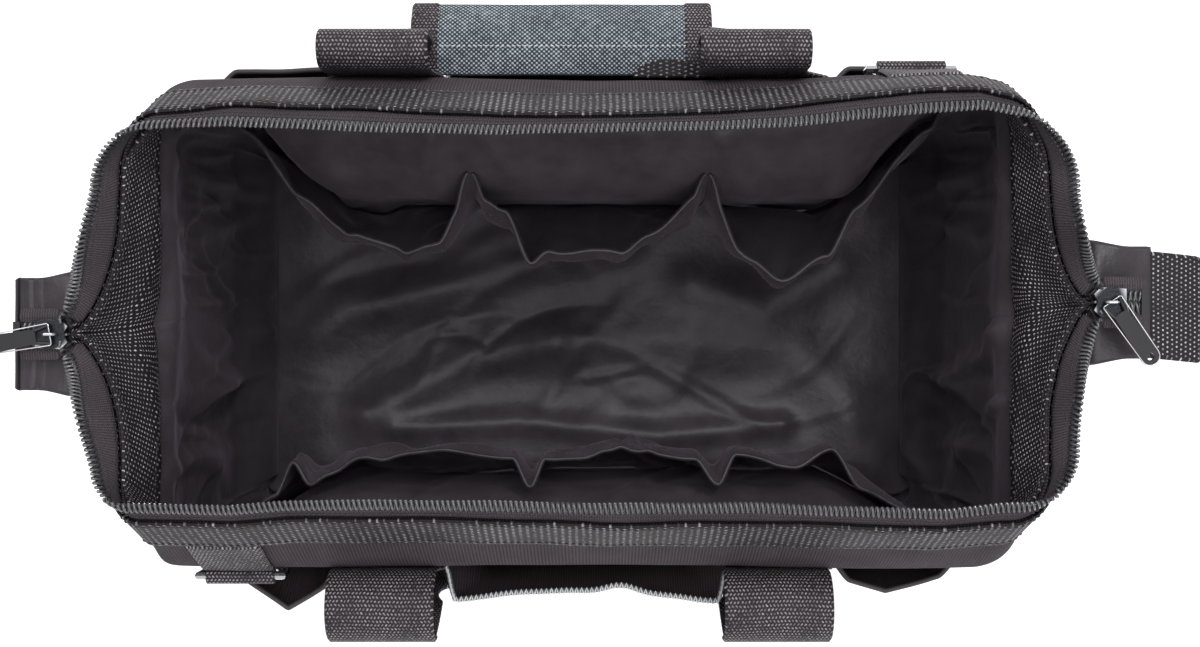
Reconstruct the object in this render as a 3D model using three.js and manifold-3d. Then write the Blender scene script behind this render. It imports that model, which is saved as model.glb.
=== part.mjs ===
// Wide-mouth zippered tool bag, standing open.
// Millimetres. X runs along the bag, Y from front (-) to back (+), Z up from the ground.
// The origin is on the ground under the middle of the base.

import * as THREE from 'three';
import { mergeVertices } from 'three/addons/utils/BufferGeometryUtils.js';
import Module from 'manifold-3d';

const wasm = await Module();
wasm.setup();

// Clearances
const seatGap = 0.3;
const seamGap = 0.4;

// Body of the bag: half sizes of its outline at the base, the belly and the rim
const baseHalfLength = 198;
const rimHalfLength = 204.5;
const baseHalfWidth = 108.5;
const frontBellyHalfWidth = 115.5;
const backBellyHalfWidth = 111.5;
const bandFootHalfWidth = 97.5;
const rimHalfWidth = 85;
const cornerRadius = 20;
const wallFootHeight = 7.8;
const rimHeight = 238;
const bandHeight = 25;
const shoulderHeight = 41;
const bandFootHeight = rimHeight - bandHeight;
const bellyTopHeight = bandFootHeight - shoulderHeight;

// The two zip ends, where the mouth is drawn out to a point and dips
const leftTipReach = 25;
const rightTipReach = 21;
const tipOffset = 7;
const tipStartDrop = 68;
const rimDip = 24;
const dipStartDrop = 138;
const tipSharpness = 2.4;

// How one half of the outline is shared out, from its left end to its right end
const endShare = 0.2;
const cornerShare = 0.1;
const endSteps = 5;
const cornerSteps = 4;

// Fabric thicknesses
const shellThickness = 2.2;
const liningThickness = 1;
const webbingThickness = 1.6;
const strapThickness = 2;
const pocketThickness = 1.5;
const tapeThickness = 0.8;

// Base
const basePanelThickness = 2.2;
const pipingRadius = 2.5;
const boardThickness = 3;
const boardInset = 8;
const pipingSides = 6;

// Rim webbing, folded over the mouth
const rimStand = 4;

// Zip
const coilPitch = 4.4;
const coilWidth = 4.9;
const coilHalfThickness = 1.4;
const coilTipHalfThickness = 1;
const toothDepth = 1.5;
const toothGap = 0.7;
const coilSeat = 1.4;
const tailDrop = 19;
const tailHeight = rimHeight - tailDrop;
const tailTeeth = 7;
const realPitch = 2.2;
const tapeEdgeHalfLength = 206;
const tapeEdgeHalfWidth = 80.8;
const tapeEdgeRise = 2.8;
const tapeEdgeLift = 1.75;
const tapeFlatShare = 0.1;
const tapeTailHalfWidth = 15;
const tailTapeShare = 0.25;
const tapeLift = 1;

// Slider and pull
const sliderLength = 14;
const sliderSeat = 1.5;
const sliderHalfWidth = 6.4;
const sliderPlateThickness = 1.6;
const sliderChannelHalf = 2;
const sliderTapeSlotHalf = 0.9;
const sliderFlangeWidth = 0.9;
const sliderWaist = 0.6;
const wedgeFrom = 0.92;
const wedgeTo = 0.7;
const wedgeHalfWidth = 0.5;
const bailWire = 1.4;
const bailReach = 3.4;
const bailRise = 4.4;
const bailCorner = 1;
const joinDepth = 0.4;
const pullHeadHalfWidth = 4.2;
const pullWire = 1.4;
const pullLength = 33;
const pullWidth = 8.4;
const pullNeckWidth = 6.4;
const pullThickness = 1.6;
const pullHeadLength = 6;
const pullHoleRadius = 1.7;
const pullArmLean = 0.5;
const pullHeight = 5.4;
const rightPullTurn = -55;
const leftPullTurn = 10;

// Handle webbing
const strapWidth = 48;
const strapSpacing = 182;
const strapTopDrop = 7;
const strapSewnTop = bellyTopHeight - strapTopDrop;
const strapSewnFoot = 12;
const frontArchRadius = 16;
const frontArchRise = 13;
const frontHandleLean = 13;
const frontHandleShift = -3;
const backArchRadius = 8;
const backArchRise = 37;
const backHandleShift = -9;
const handleDrop = 60;
const handleBend = 28;
const gripWidth = 26;
const gripThickness = 5;
const backLegStraight = 33;
const backLegCurveRadius = 25;
const backLegCurveTurn = 50;

// Grip wrap on the back handle
const wrapLength = 143;
const wrapInnerReach = 2;
const wrapSeamReach = 6.5;
const wrapSeamRise = 2.4;
const wrapFlapReach = 12;
const wrapFlapSink = 0.6;
const wrapToLeg = 4.5;
const wrapThickness = 2.2;
const wrapBindingWidth = 8;
const wrapBindingExtra = 0.8;
const bindingSlope = 0.5;

// Carrying rings and their tabs
const ringTabWidth = 31;
const frontRingPlace = -159.5;
const backRingPlace = 150;
const ringWire = 4;
const ringBarDrop = 32;
const ringBarHeight = bandFootHeight - ringBarDrop;
const ringInnerRadius = 17;
const ringDrop = 6;
const tabLoopWall = 1.6;
const tabStripThickness = 2.4;
const ringStand = 0.4;
const tubeSides = 12;

// End tabs of wide webbing
const endTabWidth = 48;
const endTabThickness = 3.2;
const endTabLength = 28;
const endTabDroop = 3;
const hangingTabLength = 40;
const hangingTabSwing = 2;
const endTabDrop = 10;
const endTabHeight = tailHeight - endTabDrop;
const tabBaseReach = 250;
const tabBaseThickness = 2.4;
const tabBaseShare = 0.42;
const tabBaseDrop = 8;
const tabBaseSettle = 0.6;
const zipStopLength = 3;
const zipStopHalfWidth = 5.5;
const zipStopStand = 0.6;

// Pockets: places along the bag, mouth heights and how far the mouths gape
const pocketFootHeight = 14;
const pocketToStrap = 2.4;
const centrePocketDrop = 14;
const centrePocketMouth = bellyTopHeight - centrePocketDrop;
const centrePocketSlack = 7.5;
const centrePocketFlare = 12;
const sidePocketDrop = 22;
const sidePocketMouth = bellyTopHeight - sidePocketDrop;
const sidePocketInnerReach = 117;
const sidePocketOuterReach = 178;
const sidePocketSlack = 7;
const frontLeftFlare = 12;
const centreFlareMiddle = 0.45;
const backFlareShare = 0.3;
const flareFrom = 0.86;
const pocketFullRise = 3;
const innerFullRise = 1.1;
const pocketColumns = 8;
const pocketRows = 5;
const pocketMarginShare = 0.16;
const innerPocketDrop = 22;
const innerPocketMouth = bellyTopHeight - innerPocketDrop;
const innerPocketFoot = 40;
const frontLiningSag = 20;
const backLiningSag = 36;
const sagTopDrop = 4;
const liningSagTop = bandFootHeight - sagTopDrop;
const innerPocketBulge = 12;
const innerPocketEnd = 172;
const innerPocketFirst = -56;
const innerPocketSecond = 58;
const liningRowShares = [0.5, 0.73];
const liningColumns = 12;
const sagEdgeShare = 1 / 6;

// Small maths

const lerp = (a, b, share) => a + (b - a) * share;
const smooth = (share) => {
  const s = Math.min(1, Math.max(0, share));
  return s * s * (3 - 2 * s);
};
const radians = (degrees) => (degrees * Math.PI) / 180;
const steps = (from, to, count) =>
  Array.from({ length: count + 1 }, (_, i) => lerp(from, to, i / count));

// Values of a list that lie between two ends, with the ends themselves
function between(list, from, to) {
  const low = Math.min(from, to);
  const high = Math.max(from, to);
  const margin = (high - low) * 1e-3;
  const inside = list.filter((value) => value > low + margin && value < high - margin);
  const all = [low, ...inside, high];
  return from <= to ? all : all.reverse();
}

// Closed solids

// A geometry whose faces point outwards
function closedGeometry(position, index) {
  let volume = 0;
  const corner = (k) => new THREE.Vector3().fromArray(position, index[k] * 3);
  for (let k = 0; k < index.length; k += 3) {
    volume += corner(k).dot(corner(k + 1).cross(corner(k + 2)));
  }
  const order = volume < 0 ? index.slice().reverse() : index;
  const geometry = new THREE.BufferGeometry();
  geometry.setAttribute('position', new THREE.Float32BufferAttribute(position, 3));
  geometry.setIndex(order);
  geometry.computeVertexNormals();
  return geometry;
}

// A sheet between two grids of points, closed round its four edges. The columns that
// turned names have their faces split along the other diagonal.
function sheetSolid(outer, inner, turned = () => false) {
  const rows = outer.length;
  const columns = outer[0].length;
  const position = [];
  for (const layer of [outer, inner]) {
    for (const row of layer) {
      for (const point of row) position.push(point.x, point.y, point.z);
    }
  }
  const at = (layer, row, column) => (layer * rows + row) * columns + column;
  const index = [];
  const quad = (a, b, c, d) => index.push(a, b, c, a, c, d);
  for (let r = 0; r < rows - 1; r += 1) {
    for (let c = 0; c < columns - 1; c += 1) {
      if (turned(c)) {
        quad(at(0, r, c + 1), at(0, r + 1, c + 1), at(0, r + 1, c), at(0, r, c));
        quad(at(1, r, c + 1), at(1, r, c), at(1, r + 1, c), at(1, r + 1, c + 1));
      } else {
        quad(at(0, r, c), at(0, r, c + 1), at(0, r + 1, c + 1), at(0, r + 1, c));
        quad(at(1, r, c), at(1, r + 1, c), at(1, r + 1, c + 1), at(1, r, c + 1));
      }
    }
    quad(at(0, r, 0), at(0, r + 1, 0), at(1, r + 1, 0), at(1, r, 0));
    const last = columns - 1;
    quad(at(0, r, last), at(1, r, last), at(1, r + 1, last), at(0, r + 1, last));
  }
  for (let c = 0; c < columns - 1; c += 1) {
    quad(at(0, 0, c), at(1, 0, c), at(1, 0, c + 1), at(0, 0, c + 1));
    const last = rows - 1;
    quad(at(0, last, c), at(0, last, c + 1), at(1, last, c + 1), at(1, last, c));
  }
  return closedGeometry(position, index);
}

// A sheet of even thickness about a grid of middle points
function thickSheet(grid, thickness) {
  const pick = (r, c) => {
    const row = grid[Math.min(grid.length - 1, Math.max(0, r))];
    return row[Math.min(row.length - 1, Math.max(0, c))];
  };
  const half = thickness / 2;
  const shifted = (sign) =>
    grid.map((row, r) =>
      row.map((point, c) => {
        const along = pick(r, c + 1).clone().sub(pick(r, c - 1));
        const across = pick(r + 1, c).clone().sub(pick(r - 1, c));
        const normal = along.cross(across).normalize();
        return point.clone().addScaledVector(normal, sign * half);
      }),
    );
  return sheetSolid(shifted(1), shifted(-1));
}

// A solid skinned over rings of points; a looped one joins its last ring to its first
function ringSolid(rings, looped = false) {
  const count = rings[0].length;
  const position = rings.flat().flatMap((point) => [point.x, point.y, point.z]);
  const index = [];
  const spans = looped ? rings.length : rings.length - 1;
  for (let r = 0; r < spans; r += 1) {
    const next = (r + 1) % rings.length;
    for (let k = 0; k < count; k += 1) {
      const after = (k + 1) % count;
      index.push(r * count + k, next * count + k, next * count + after);
      index.push(r * count + k, next * count + after, r * count + after);
    }
  }
  if (!looped) {
    const last = (rings.length - 1) * count;
    for (let k = 1; k < count - 1; k += 1) {
      index.push(0, k, k + 1);
      index.push(last, last + k + 1, last + k);
    }
  }
  return closedGeometry(position, index);
}

// A ring of points about a place, in the plane of two directions
const wireSides = 8;
const roundRing = (place, first, second, radius) =>
  Array.from({ length: wireSides }, (_, i) => {
    const angle = (i / wireSides) * Math.PI * 2;
    return place.clone()
      .addScaledVector(first, radius * Math.cos(angle))
      .addScaledVector(second, radius * Math.sin(angle));
  });

// Joining and cutting

function toSolid(geometry) {
  const bare = geometry.clone();
  bare.deleteAttribute('normal');
  bare.deleteAttribute('uv');
  const merged = mergeVertices(bare, 1e-4);
  const index = merged.getIndex();
  return new wasm.Manifold(
    new wasm.Mesh({
      numProp: 3,
      vertProperties: new Float32Array(merged.getAttribute('position').array),
      triVerts: new Uint32Array(index.array),
    }),
  );
}

function toGeometry(solid) {
  const mesh = solid.getMesh();
  return closedGeometry(Array.from(mesh.vertProperties), Array.from(mesh.triVerts));
}

const join = (...geometries) =>
  toGeometry(geometries.map(toSolid).reduce((whole, next) => whole.add(next)));
const cut = (geometry, ...tools) =>
  toGeometry(tools.map(toSolid).reduce((left, tool) => left.subtract(tool), toSolid(geometry)));

// A box from its low corner to its high corner
function block(low, high) {
  const size = [0, 1, 2].map((axis) => high[axis] - low[axis]);
  const middle = [0, 1, 2].map((axis) => (high[axis] + low[axis]) / 2);
  return new THREE.BoxGeometry(...size).translate(...middle);
}

// A round bar between two points
function bar(from, to, width, sides = wireSides) {
  const start = new THREE.Vector3(...from);
  const end = new THREE.Vector3(...to);
  const rod = new THREE.CylinderGeometry(width / 2, width / 2, start.distanceTo(end), sides);
  const turn = new THREE.Quaternion().setFromUnitVectors(
    new THREE.Vector3(0, 1, 0),
    end.clone().sub(start).normalize(),
  );
  rod.applyQuaternion(turn);
  return rod.translate(...start.add(end).multiplyScalar(0.5).toArray());
}

// The wall of the bag as a surface: a place along one half of the outline, a height and a
// depth, where depth 0 is the outer face of the shell and a positive depth goes inwards

function wallHalfWidth(side, height) {
  const belly = side < 0 ? frontBellyHalfWidth : backBellyHalfWidth;
  const bandSlope = (bandFootHalfWidth - rimHalfWidth) / (rimHeight - bandFootHeight);
  if (height <= bellyTopHeight) {
    const rise = (height - wallFootHeight) / (bellyTopHeight - wallFootHeight);
    return baseHalfWidth + (belly - baseHalfWidth) * Math.sin((rise * Math.PI) / 2);
  }
  if (height >= bandFootHeight) return bandFootHalfWidth - bandSlope * (height - bandFootHeight);
  const span = bandFootHeight - bellyTopHeight;
  const s = (height - bellyTopHeight) / span;
  const drop = belly - bandFootHalfWidth;
  return belly - drop * (3 * s * s - 2 * s * s * s) - bandSlope * span * (s * s * s - s * s);
}

function wallHalfLength(height) {
  const rise = (height - wallFootHeight) / (rimHeight - wallFootHeight);
  return lerp(baseHalfLength, rimHalfLength, rise);
}

// A place on a rounded, pointed half outline. share runs from 0 at the left end to 1 at the
// right end; endHalf is how far from the middle line the half starts.
function outlinePlace(side, share, outline) {
  const { halfLength, halfWidth, leftTip, rightTip, lean, endHalf } = outline;
  const left = share < 0.5;
  const hand = left ? -1 : 1;
  const along = left ? share : 1 - share;
  const straightHalf = halfLength - cornerRadius;
  const deep = halfWidth - cornerRadius;
  if (along < endShare) {
    const q = along / endShare;
    const tip = (left ? leftTip : rightTip) * (1 - q) ** tipSharpness;
    const shift = hand * lean * (1 - q) ** 2;
    return [hand * (halfLength + tip), side * lerp(endHalf, deep, q) + shift];
  }
  if (along < endShare + cornerShare) {
    const angle = (((along - endShare) / cornerShare) * Math.PI) / 2;
    const x = straightHalf + cornerRadius * Math.cos(angle);
    return [hand * x, side * (deep + cornerRadius * Math.sin(angle))];
  }
  const straight = endShare + cornerShare;
  const run = (along - straight) / (0.5 - straight);
  return [hand * straightHalf * (1 - run), side * halfWidth];
}

// How much the height drops towards the zip ends, 1 at the very end
function dipShare(share) {
  const q = Math.min(share, 1 - share) / endShare;
  return q >= 1 ? 0 : Math.cos((q * Math.PI) / 2) ** 2;
}

function wallSpot(side, share, height) {
  const grow = smooth(1 - (rimHeight - height) / tipStartDrop);
  const sink = smooth(1 - (rimHeight - height) / dipStartDrop);
  const [x, y] = outlinePlace(side, share, {
    halfLength: wallHalfLength(height),
    halfWidth: wallHalfWidth(side, height),
    leftTip: leftTipReach * grow,
    rightTip: rightTipReach * grow,
    lean: tipOffset * grow,
    endHalf: 0,
  });
  return new THREE.Vector3(x, y, height - rimDip * sink * dipShare(share));
}

// The surface is flat between stations, so that the layers on it lie evenly on each other
const straightFrom = endShare + cornerShare;
const straightTo = 1 - straightFrom;
const shareStations = [
  ...steps(0, endShare, endSteps),
  ...steps(endShare, straightFrom, cornerSteps).slice(1),
  0.5,
  ...steps(straightTo, 1 - endShare, cornerSteps),
  ...steps(1 - endShare, 1, endSteps).slice(1),
];
const bellySteps = 5;
const shoulderSteps = 6;
const bandSteps = 2;
const shellTop = rimHeight - rimStand;
const heightStations = [
  ...steps(wallFootHeight, bellyTopHeight, bellySteps),
  ...steps(bellyTopHeight, bandFootHeight, shoulderSteps).slice(1),
  ...steps(bandFootHeight, rimHeight, bandSteps).slice(1),
];

function wallNormal(side, share, height) {
  const nudge = 1e-4;
  const reach = 0.05;
  const at = (s, h) => wallSpot(side, Math.min(1, Math.max(0, s)), h);
  const along = at(share + nudge, height).sub(at(share - nudge, height));
  const up = at(share, height + reach).sub(at(share, height - reach));
  return up.cross(along).multiplyScalar(side).normalize();
}

const wallGrid = {};
for (const side of [-1, 1]) {
  wallGrid[side] = shareStations.map((share) =>
    heightStations.map((height) => ({
      point: wallSpot(side, share, height),
      normal: wallNormal(side, share, height),
    })),
  );
}
for (const column of [0, shareStations.length - 1]) {
  heightStations.forEach((_, row) => {
    const front = wallGrid[-1][column][row];
    const back = wallGrid[1][column][row];
    const shared = front.normal.clone().add(back.normal).normalize();
    front.normal = shared;
    back.normal = shared.clone();
  });
}

function cellOf(list, value) {
  let cell = 0;
  while (cell < list.length - 2 && value > list[cell + 1]) cell += 1;
  return [cell, (value - list[cell]) / (list[cell + 1] - list[cell])];
}

function onWall(side, share, height, depth) {
  const [column, across] = cellOf(shareStations, share);
  const [row, up] = cellOf(heightStations, height);
  const corner = (c, r) => {
    const { point, normal } = wallGrid[side][column + c][row + r];
    return point.clone().addScaledVector(normal, -depth);
  };
  const low = corner(0, 0).lerp(corner(1, 0), across);
  const high = corner(0, 1).lerp(corner(1, 1), across);
  return low.lerp(high, up);
}

// The share of the outline at a place x on the straight part of a wall
const middleHeight = (wallFootHeight + rimHeight) / 2;
function shareAt(x, height = middleHeight) {
  const half = wallHalfLength(height) - cornerRadius;
  return lerp(straightFrom, straightTo, (x + half) / (2 * half));
}

// A layer of cloth on the wall between two depths
function wallLayer(columns, heights, outerDepth, innerDepth) {
  const grid = (depth) =>
    heights.map((height) =>
      columns.map(({ side, share }) => onWall(side, share, height, depth(share, height, side))),
    );
  const turned = (c) => columns[c + 1].share < columns[c].share;
  return sheetSolid(grid(outerDepth), grid(innerDepth), turned);
}

const sideColumns = (side, from, to, extra = []) =>
  between([...shareStations, ...extra].sort((a, b) => a - b), from, to).map((share) => ({
    side,
    share,
  }));
const wallHeights = (from, to, extra = []) =>
  between([...heightStations, ...extra].sort((a, b) => a - b), from, to);
const constant = (value) => () => value;

// Materials

const finish = (color, roughness, metalness = 0) =>
  new THREE.MeshStandardMaterial({ color, roughness, metalness });
const shellFabric = () => finish(0x2d292c, 0.85);
const pocketFabric = () => finish(0x302b2e, 0.8);
const satin = () => finish(0x1b191c, 0.4);
const webbing = () => finish(0x242124, 0.75);
const coilPlastic = () => finish(0x19191b, 0.3);
const tapeFabric = () => finish(0x2a2628, 0.8);
const blackMetal = () => finish(0x1e1e20, 0.35, 0.8);
const nickel = () => finish(0xb9bbbd, 0.2, 1);
const ballistic = () => finish(0x5d686f, 0.7);
const fibreboard = () => finish(0x3a332e, 0.9);

const bag = new THREE.Group();

function add(name, geometry, material) {
  const mesh = new THREE.Mesh(geometry, material);
  mesh.name = name;
  bag.add(mesh);
  return mesh;
}

// Base: outer panel on the ground, welt of piping, stiffening board and floor lining

function baseOutline(inset) {
  const halfLength = baseHalfLength - inset;
  const halfWidth = baseHalfWidth - inset;
  const corner = cornerRadius - inset / 2;
  const shape = new THREE.Shape();
  shape.moveTo(-halfLength + corner, -halfWidth);
  shape.lineTo(halfLength - corner, -halfWidth);
  shape.absarc(halfLength - corner, -halfWidth + corner, corner, -Math.PI / 2, 0);
  shape.absarc(halfLength - corner, halfWidth - corner, corner, 0, Math.PI / 2);
  shape.absarc(-halfLength + corner, halfWidth - corner, corner, Math.PI / 2, Math.PI);
  shape.absarc(-halfLength + corner, -halfWidth + corner, corner, Math.PI, Math.PI * 1.5);
  return shape;
}

const cornerCurve = 6;
const plate = (inset, low, high) =>
  new THREE.ExtrudeGeometry(baseOutline(inset), {
    depth: high - low,
    bevelEnabled: false,
    curveSegments: cornerCurve,
  }).translate(0, 0, low);

const boardFoot = basePanelThickness + seatGap;
const boardTop = boardFoot + boardThickness;
const floorFoot = boardTop + seatGap;
const pipingHeight = wallFootHeight - seatGap - pipingRadius;

add('base_panel', plate(0, 0, basePanelThickness), shellFabric());
add('base_board', plate(boardInset, boardFoot, boardTop), fibreboard());
add('floor_lining', plate(boardInset, floorFoot, floorFoot + liningThickness), satin());

function pipingGeometry() {
  const route = baseOutline(0).getPoints(cornerCurve).slice(0, -1);
  const rings = route.map((spot, k) => {
    const before = route[(k - 1 + route.length) % route.length];
    const after = route[(k + 1) % route.length];
    const ahead = after.clone().sub(before).normalize();
    const outward = new THREE.Vector3(ahead.y, -ahead.x, 0);
    return Array.from({ length: pipingSides }, (_, i) => {
      const angle = (i / pipingSides) * Math.PI * 2;
      return new THREE.Vector3(spot.x, spot.y, pipingHeight)
        .addScaledVector(outward, pipingRadius * Math.cos(angle))
        .add(new THREE.Vector3(0, 0, pipingRadius * Math.sin(angle)));
    });
  });
  return ringSolid(rings, true);
}
add('base_piping', pipingGeometry(), webbing());

// Walls: the long walls lie between the corners, and the end walls carry the corners

const seamShare = (seamGap / 2 / (2 * (rimHalfLength - cornerRadius))) * (straightTo - straightFrom);
const endColumns = (right) => {
  const edge = right ? straightTo + seamShare : straightFrom - seamShare;
  const end = right ? 1 : 0;
  const front = sideColumns(-1, edge, end);
  const back = sideColumns(1, end, edge);
  return [...front, ...back.slice(1)];
};
const longColumns = (side, extra = []) =>
  sideColumns(side, straightFrom + seamShare, straightTo - seamShare, extra);

const liningOuter = shellThickness + seatGap;
const liningInner = liningOuter + liningThickness;
const innerPocketThirds = [-innerPocketEnd, innerPocketFirst, innerPocketSecond, innerPocketEnd];
const pocketEdgeShares = innerPocketThirds.flatMap((x) => [shareAt(x - seamGap), shareAt(x + seamGap)]);
const liningShares = [...steps(straightFrom, straightTo, liningColumns).slice(1, -1),
  ...pocketEdgeShares];
const liningHeights = [0, ...liningRowShares, 1]
  .map((share) => lerp(innerPocketFoot, innerPocketMouth, share));

// The loose lining hangs away from the long walls between the foot and the rim
function liningSag(share, height, side) {
  const most = side < 0 ? frontLiningSag : backLiningSag;
  const edge = Math.min(share - straightFrom, straightTo - share) / (straightTo - straightFrom);
  const window = smooth(edge / sagEdgeShare);
  const rise = (height - wallFootHeight) / (liningSagTop - wallFootHeight);
  if (rise <= 0 || rise >= 1) return 0;
  return most * window * Math.sin(rise * Math.PI) ** 2;
}

for (const [side, name] of [[-1, 'front'], [1, 'back']]) {
  const heights = wallHeights(wallFootHeight, shellTop);
  add(`${name}_wall`, wallLayer(longColumns(side), heights, constant(0), constant(shellThickness)),
    shellFabric());
  const sagged = (extra) => (share, height) => extra + liningSag(share, height, side);
  add(`${name}_lining`,
    wallLayer(longColumns(side, liningShares),
      wallHeights(wallFootHeight, shellTop, liningHeights),
      sagged(liningOuter), sagged(liningInner)),
    satin());
}

for (const [right, name] of [[false, 'left'], [true, 'right']]) {
  const heights = wallHeights(wallFootHeight, shellTop);
  add(`end_wall_${name}`,
    wallLayer(endColumns(right), heights, constant(0), constant(shellThickness)), shellFabric());
  add(`end_lining_${name}`,
    wallLayer(endColumns(right), heights, constant(liningOuter), constant(liningInner)), satin());
}

// Rim webbing outside and inside the mouth, one run for each half

const halfGapShare = (seamGap / (2 * (rimHalfWidth - cornerRadius))) * endShare;
const halfColumns = (side, extra = []) => sideColumns(side, halfGapShare, 1 - halfGapShare, extra);

for (const [side, name] of [[-1, 'front'], [1, 'back']]) {
  const heights = wallHeights(bandFootHeight, rimHeight, [shellTop]);
  add(`${name}_rim_webbing`,
    wallLayer(halfColumns(side), heights, constant(-seatGap - webbingThickness),
      constant(-seatGap)), webbing());
  const inside = liningInner + seatGap;
  add(`${name}_inner_webbing`,
    wallLayer(halfColumns(side), heights, constant(inside), constant(inside + webbingThickness)),
    webbing());
}

// Zip: where the free edge of the tape runs, and which way the coil leans from it

const tailEdgeHalf = coilWidth + toothGap / 2;
const tipPlace = (hand) =>
  hand * (tapeEdgeHalfLength + (hand < 0 ? leftTipReach : rightTipReach));
const tailLength = tailTeeth * realPitch;

function tapeEdge(side, share) {
  const [x, y] = outlinePlace(side, share, {
    halfLength: tapeEdgeHalfLength,
    halfWidth: tapeEdgeHalfWidth,
    leftTip: leftTipReach,
    rightTip: rightTipReach,
    lean: tipOffset,
    endHalf: tailEdgeHalf,
  });
  const along = Math.max(0, Math.min(share, 1 - share) / endShare - tapeFlatShare);
  const q = Math.min(1, along * tapeEdgeLift);
  const dip = Math.cos((q * Math.PI) / 2) ** 2;
  return new THREE.Vector3(x, y, lerp(rimHeight + tapeEdgeRise, tailHeight, dip));
}

// Where the sewn edge of the tape lies: in the rim, or beside the straight tail
const tapeDepth = shellThickness / 2;
const tailLeave = 0.96;
function tapeOuterEdge(side, share) {
  const hand = share < 0.5 ? -1 : 1;
  const q = Math.min(share, 1 - share) / endShare;
  const leave = hand < 0 ? tailTapeShare * endShare : 1 - tailTapeShare * endShare;
  const rim = onWall(side, leave, rimHeight, tapeDepth);
  rim.z += tapeLift;
  const tail = new THREE.Vector3(
    tipPlace(hand), side * tapeTailHalfWidth + hand * tipOffset, tailHeight);
  return tail.lerp(rim, Math.min(1, q / (tailTapeShare * tailLeave)));
}

// The way the coil leans from the tape: on, along the tape's own direction
function coilLean(side, share) {
  const q = Math.min(share, 1 - share) / endShare;
  const foot = q < tailTapeShare
    ? tapeOuterEdge(side, share) : onWall(side, share, rimHeight, tapeDepth);
  return tapeEdge(side, share).sub(foot).normalize();
}

// The tape is folded at these shares, and the coil follows its folds
const tapeFolds = (() => {
  const leaves = [1, tailLeave].map((share) => share * tailTapeShare * endShare);
  const leftHalf = [...leaves, ...steps(0, endShare, 2 * endSteps),
    ...steps(endShare, straightFrom, 2 * cornerSteps), lerp(straightFrom, 0.5, 0.5)];
  const all = [...leftHalf, 0.5, ...leftHalf.map((share) => 1 - share)].sort((a, b) => a - b);
  return all.filter((share, k) => k === 0 || share - all[k - 1] > 1e-6);
})();

function folded(along, side, share) {
  const [cell, across] = cellOf(tapeFolds, share);
  return along(side, tapeFolds[cell]).lerp(along(side, tapeFolds[cell + 1]), across);
}

const tapeRows = [0, 0.15, 0.5, 1];
const acrossTape = (outer, edge) => tapeRows.map((share) => outer.clone().lerp(edge, share));

function zipTapeGeometry(side) {
  const columns = tapeFolds.map((share) => {
    const edge = tapeEdge(side, share);
    const q = Math.min(share, 1 - share) / endShare;
    if (q < tailTapeShare * (1 - 1e-6)) return acrossTape(tapeOuterEdge(side, share), edge);
    const foot = onWall(side, share, shellTop + seatGap, tapeDepth);
    const rim = onWall(side, share, rimHeight, tapeDepth);
    return [foot, rim, rim.clone().lerp(edge, tapeRows[2]), edge];
  });
  const tail = (hand) => {
    const x = tipPlace(hand) + hand * tailLength;
    const middle = hand * tipOffset;
    return acrossTape(
      new THREE.Vector3(x, middle + side * tapeTailHalfWidth, tailHeight),
      new THREE.Vector3(x, middle + side * tailEdgeHalf, tailHeight));
  };
  const all = [tail(-1), ...columns, tail(1)];
  const rows = tapeRows.map((_, row) => all.map((column) => column[row]));
  return thickSheet(rows, tapeThickness);
}

// Stations along one half of the zip: even in the tails, and fitted between them
const measureSteps = 400;
function zipStations(side) {
  const half = coilPitch / 2;
  const fine = steps(0, 1, measureSteps).map((share) => ({ share, place: folded(tapeEdge, side, share) }));
  const lengths = [0];
  fine.slice(1).forEach(({ place }, k) => lengths.push(lengths[k] + place.distanceTo(fine[k].place)));
  const total = lengths[lengths.length - 1];
  const count = 2 * Math.round(total / coilPitch);
  const tailCount = Math.round(tailLength / half);
  const tail = (hand, k) => {
    const back = (k * tailLength) / tailCount;
    const place = new THREE.Vector3(tipPlace(hand) + hand * back,
      hand * tipOffset + side * tailEdgeHalf, tailHeight);
    return { place, lean: new THREE.Vector3(0, -side, 0) };
  };
  const left = steps(tailCount, 1, tailCount - 1).map((k) => tail(-1, k));
  const right = steps(1, tailCount, tailCount - 1).map((k) => tail(1, k));
  const mouth = steps(0, total, count).map((want) => {
    const [cell, across] = cellOf(lengths, want);
    const share = lerp(fine[cell].share, fine[cell + 1].share, across);
    return { place: folded(tapeEdge, side, share), lean: folded(coilLean, side, share) };
  });
  return [...left, ...mouth, ...right];
}

function zipCoilGeometry(side) {
  const stations = zipStations(side);
  const root = coilSeat;
  const phase = side < 0 ? 0 : 1;
  const rings = stations.map(({ place, lean }, k) => {
    const before = stations[Math.max(0, k - 1)].place;
    const after = stations[Math.min(stations.length - 1, k + 1)].place;
    const ahead = after.clone().sub(before).normalize();
    const out = lean.clone().addScaledVector(ahead, -lean.dot(ahead)).normalize();
    const normal = ahead.clone().cross(out);
    const crest = (k + phase) % 2 === 0 ? toothDepth / 2 : -toothDepth / 2;
    const tip = coilWidth + crest;
    const spot = (reach, thick) =>
      place.clone().addScaledVector(out, reach).addScaledVector(normal, thick);
    return [
      spot(root, coilHalfThickness),
      spot(tip, coilTipHalfThickness),
      spot(tip, -coilTipHalfThickness),
      spot(root, -coilHalfThickness),
    ];
  });
  return ringSolid(rings);
}

for (const [side, name] of [[-1, 'front'], [1, 'back']]) {
  add(`${name}_zip_tape`, zipTapeGeometry(side), tapeFabric());
  add(`${name}_zip_coil`, zipCoilGeometry(side), coilPlastic());
}

// Sliders, built with the zip along X and the tail side towards +X, then set on the zip

const plateTop = sliderChannelHalf + sliderPlateThickness;

// One side of a plate's outline, as shares of its half length and half width
const sliderOutline = [[0.1, 1], [-0.6, 1], [-1, 0.55], [-0.75, 0]];

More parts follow.
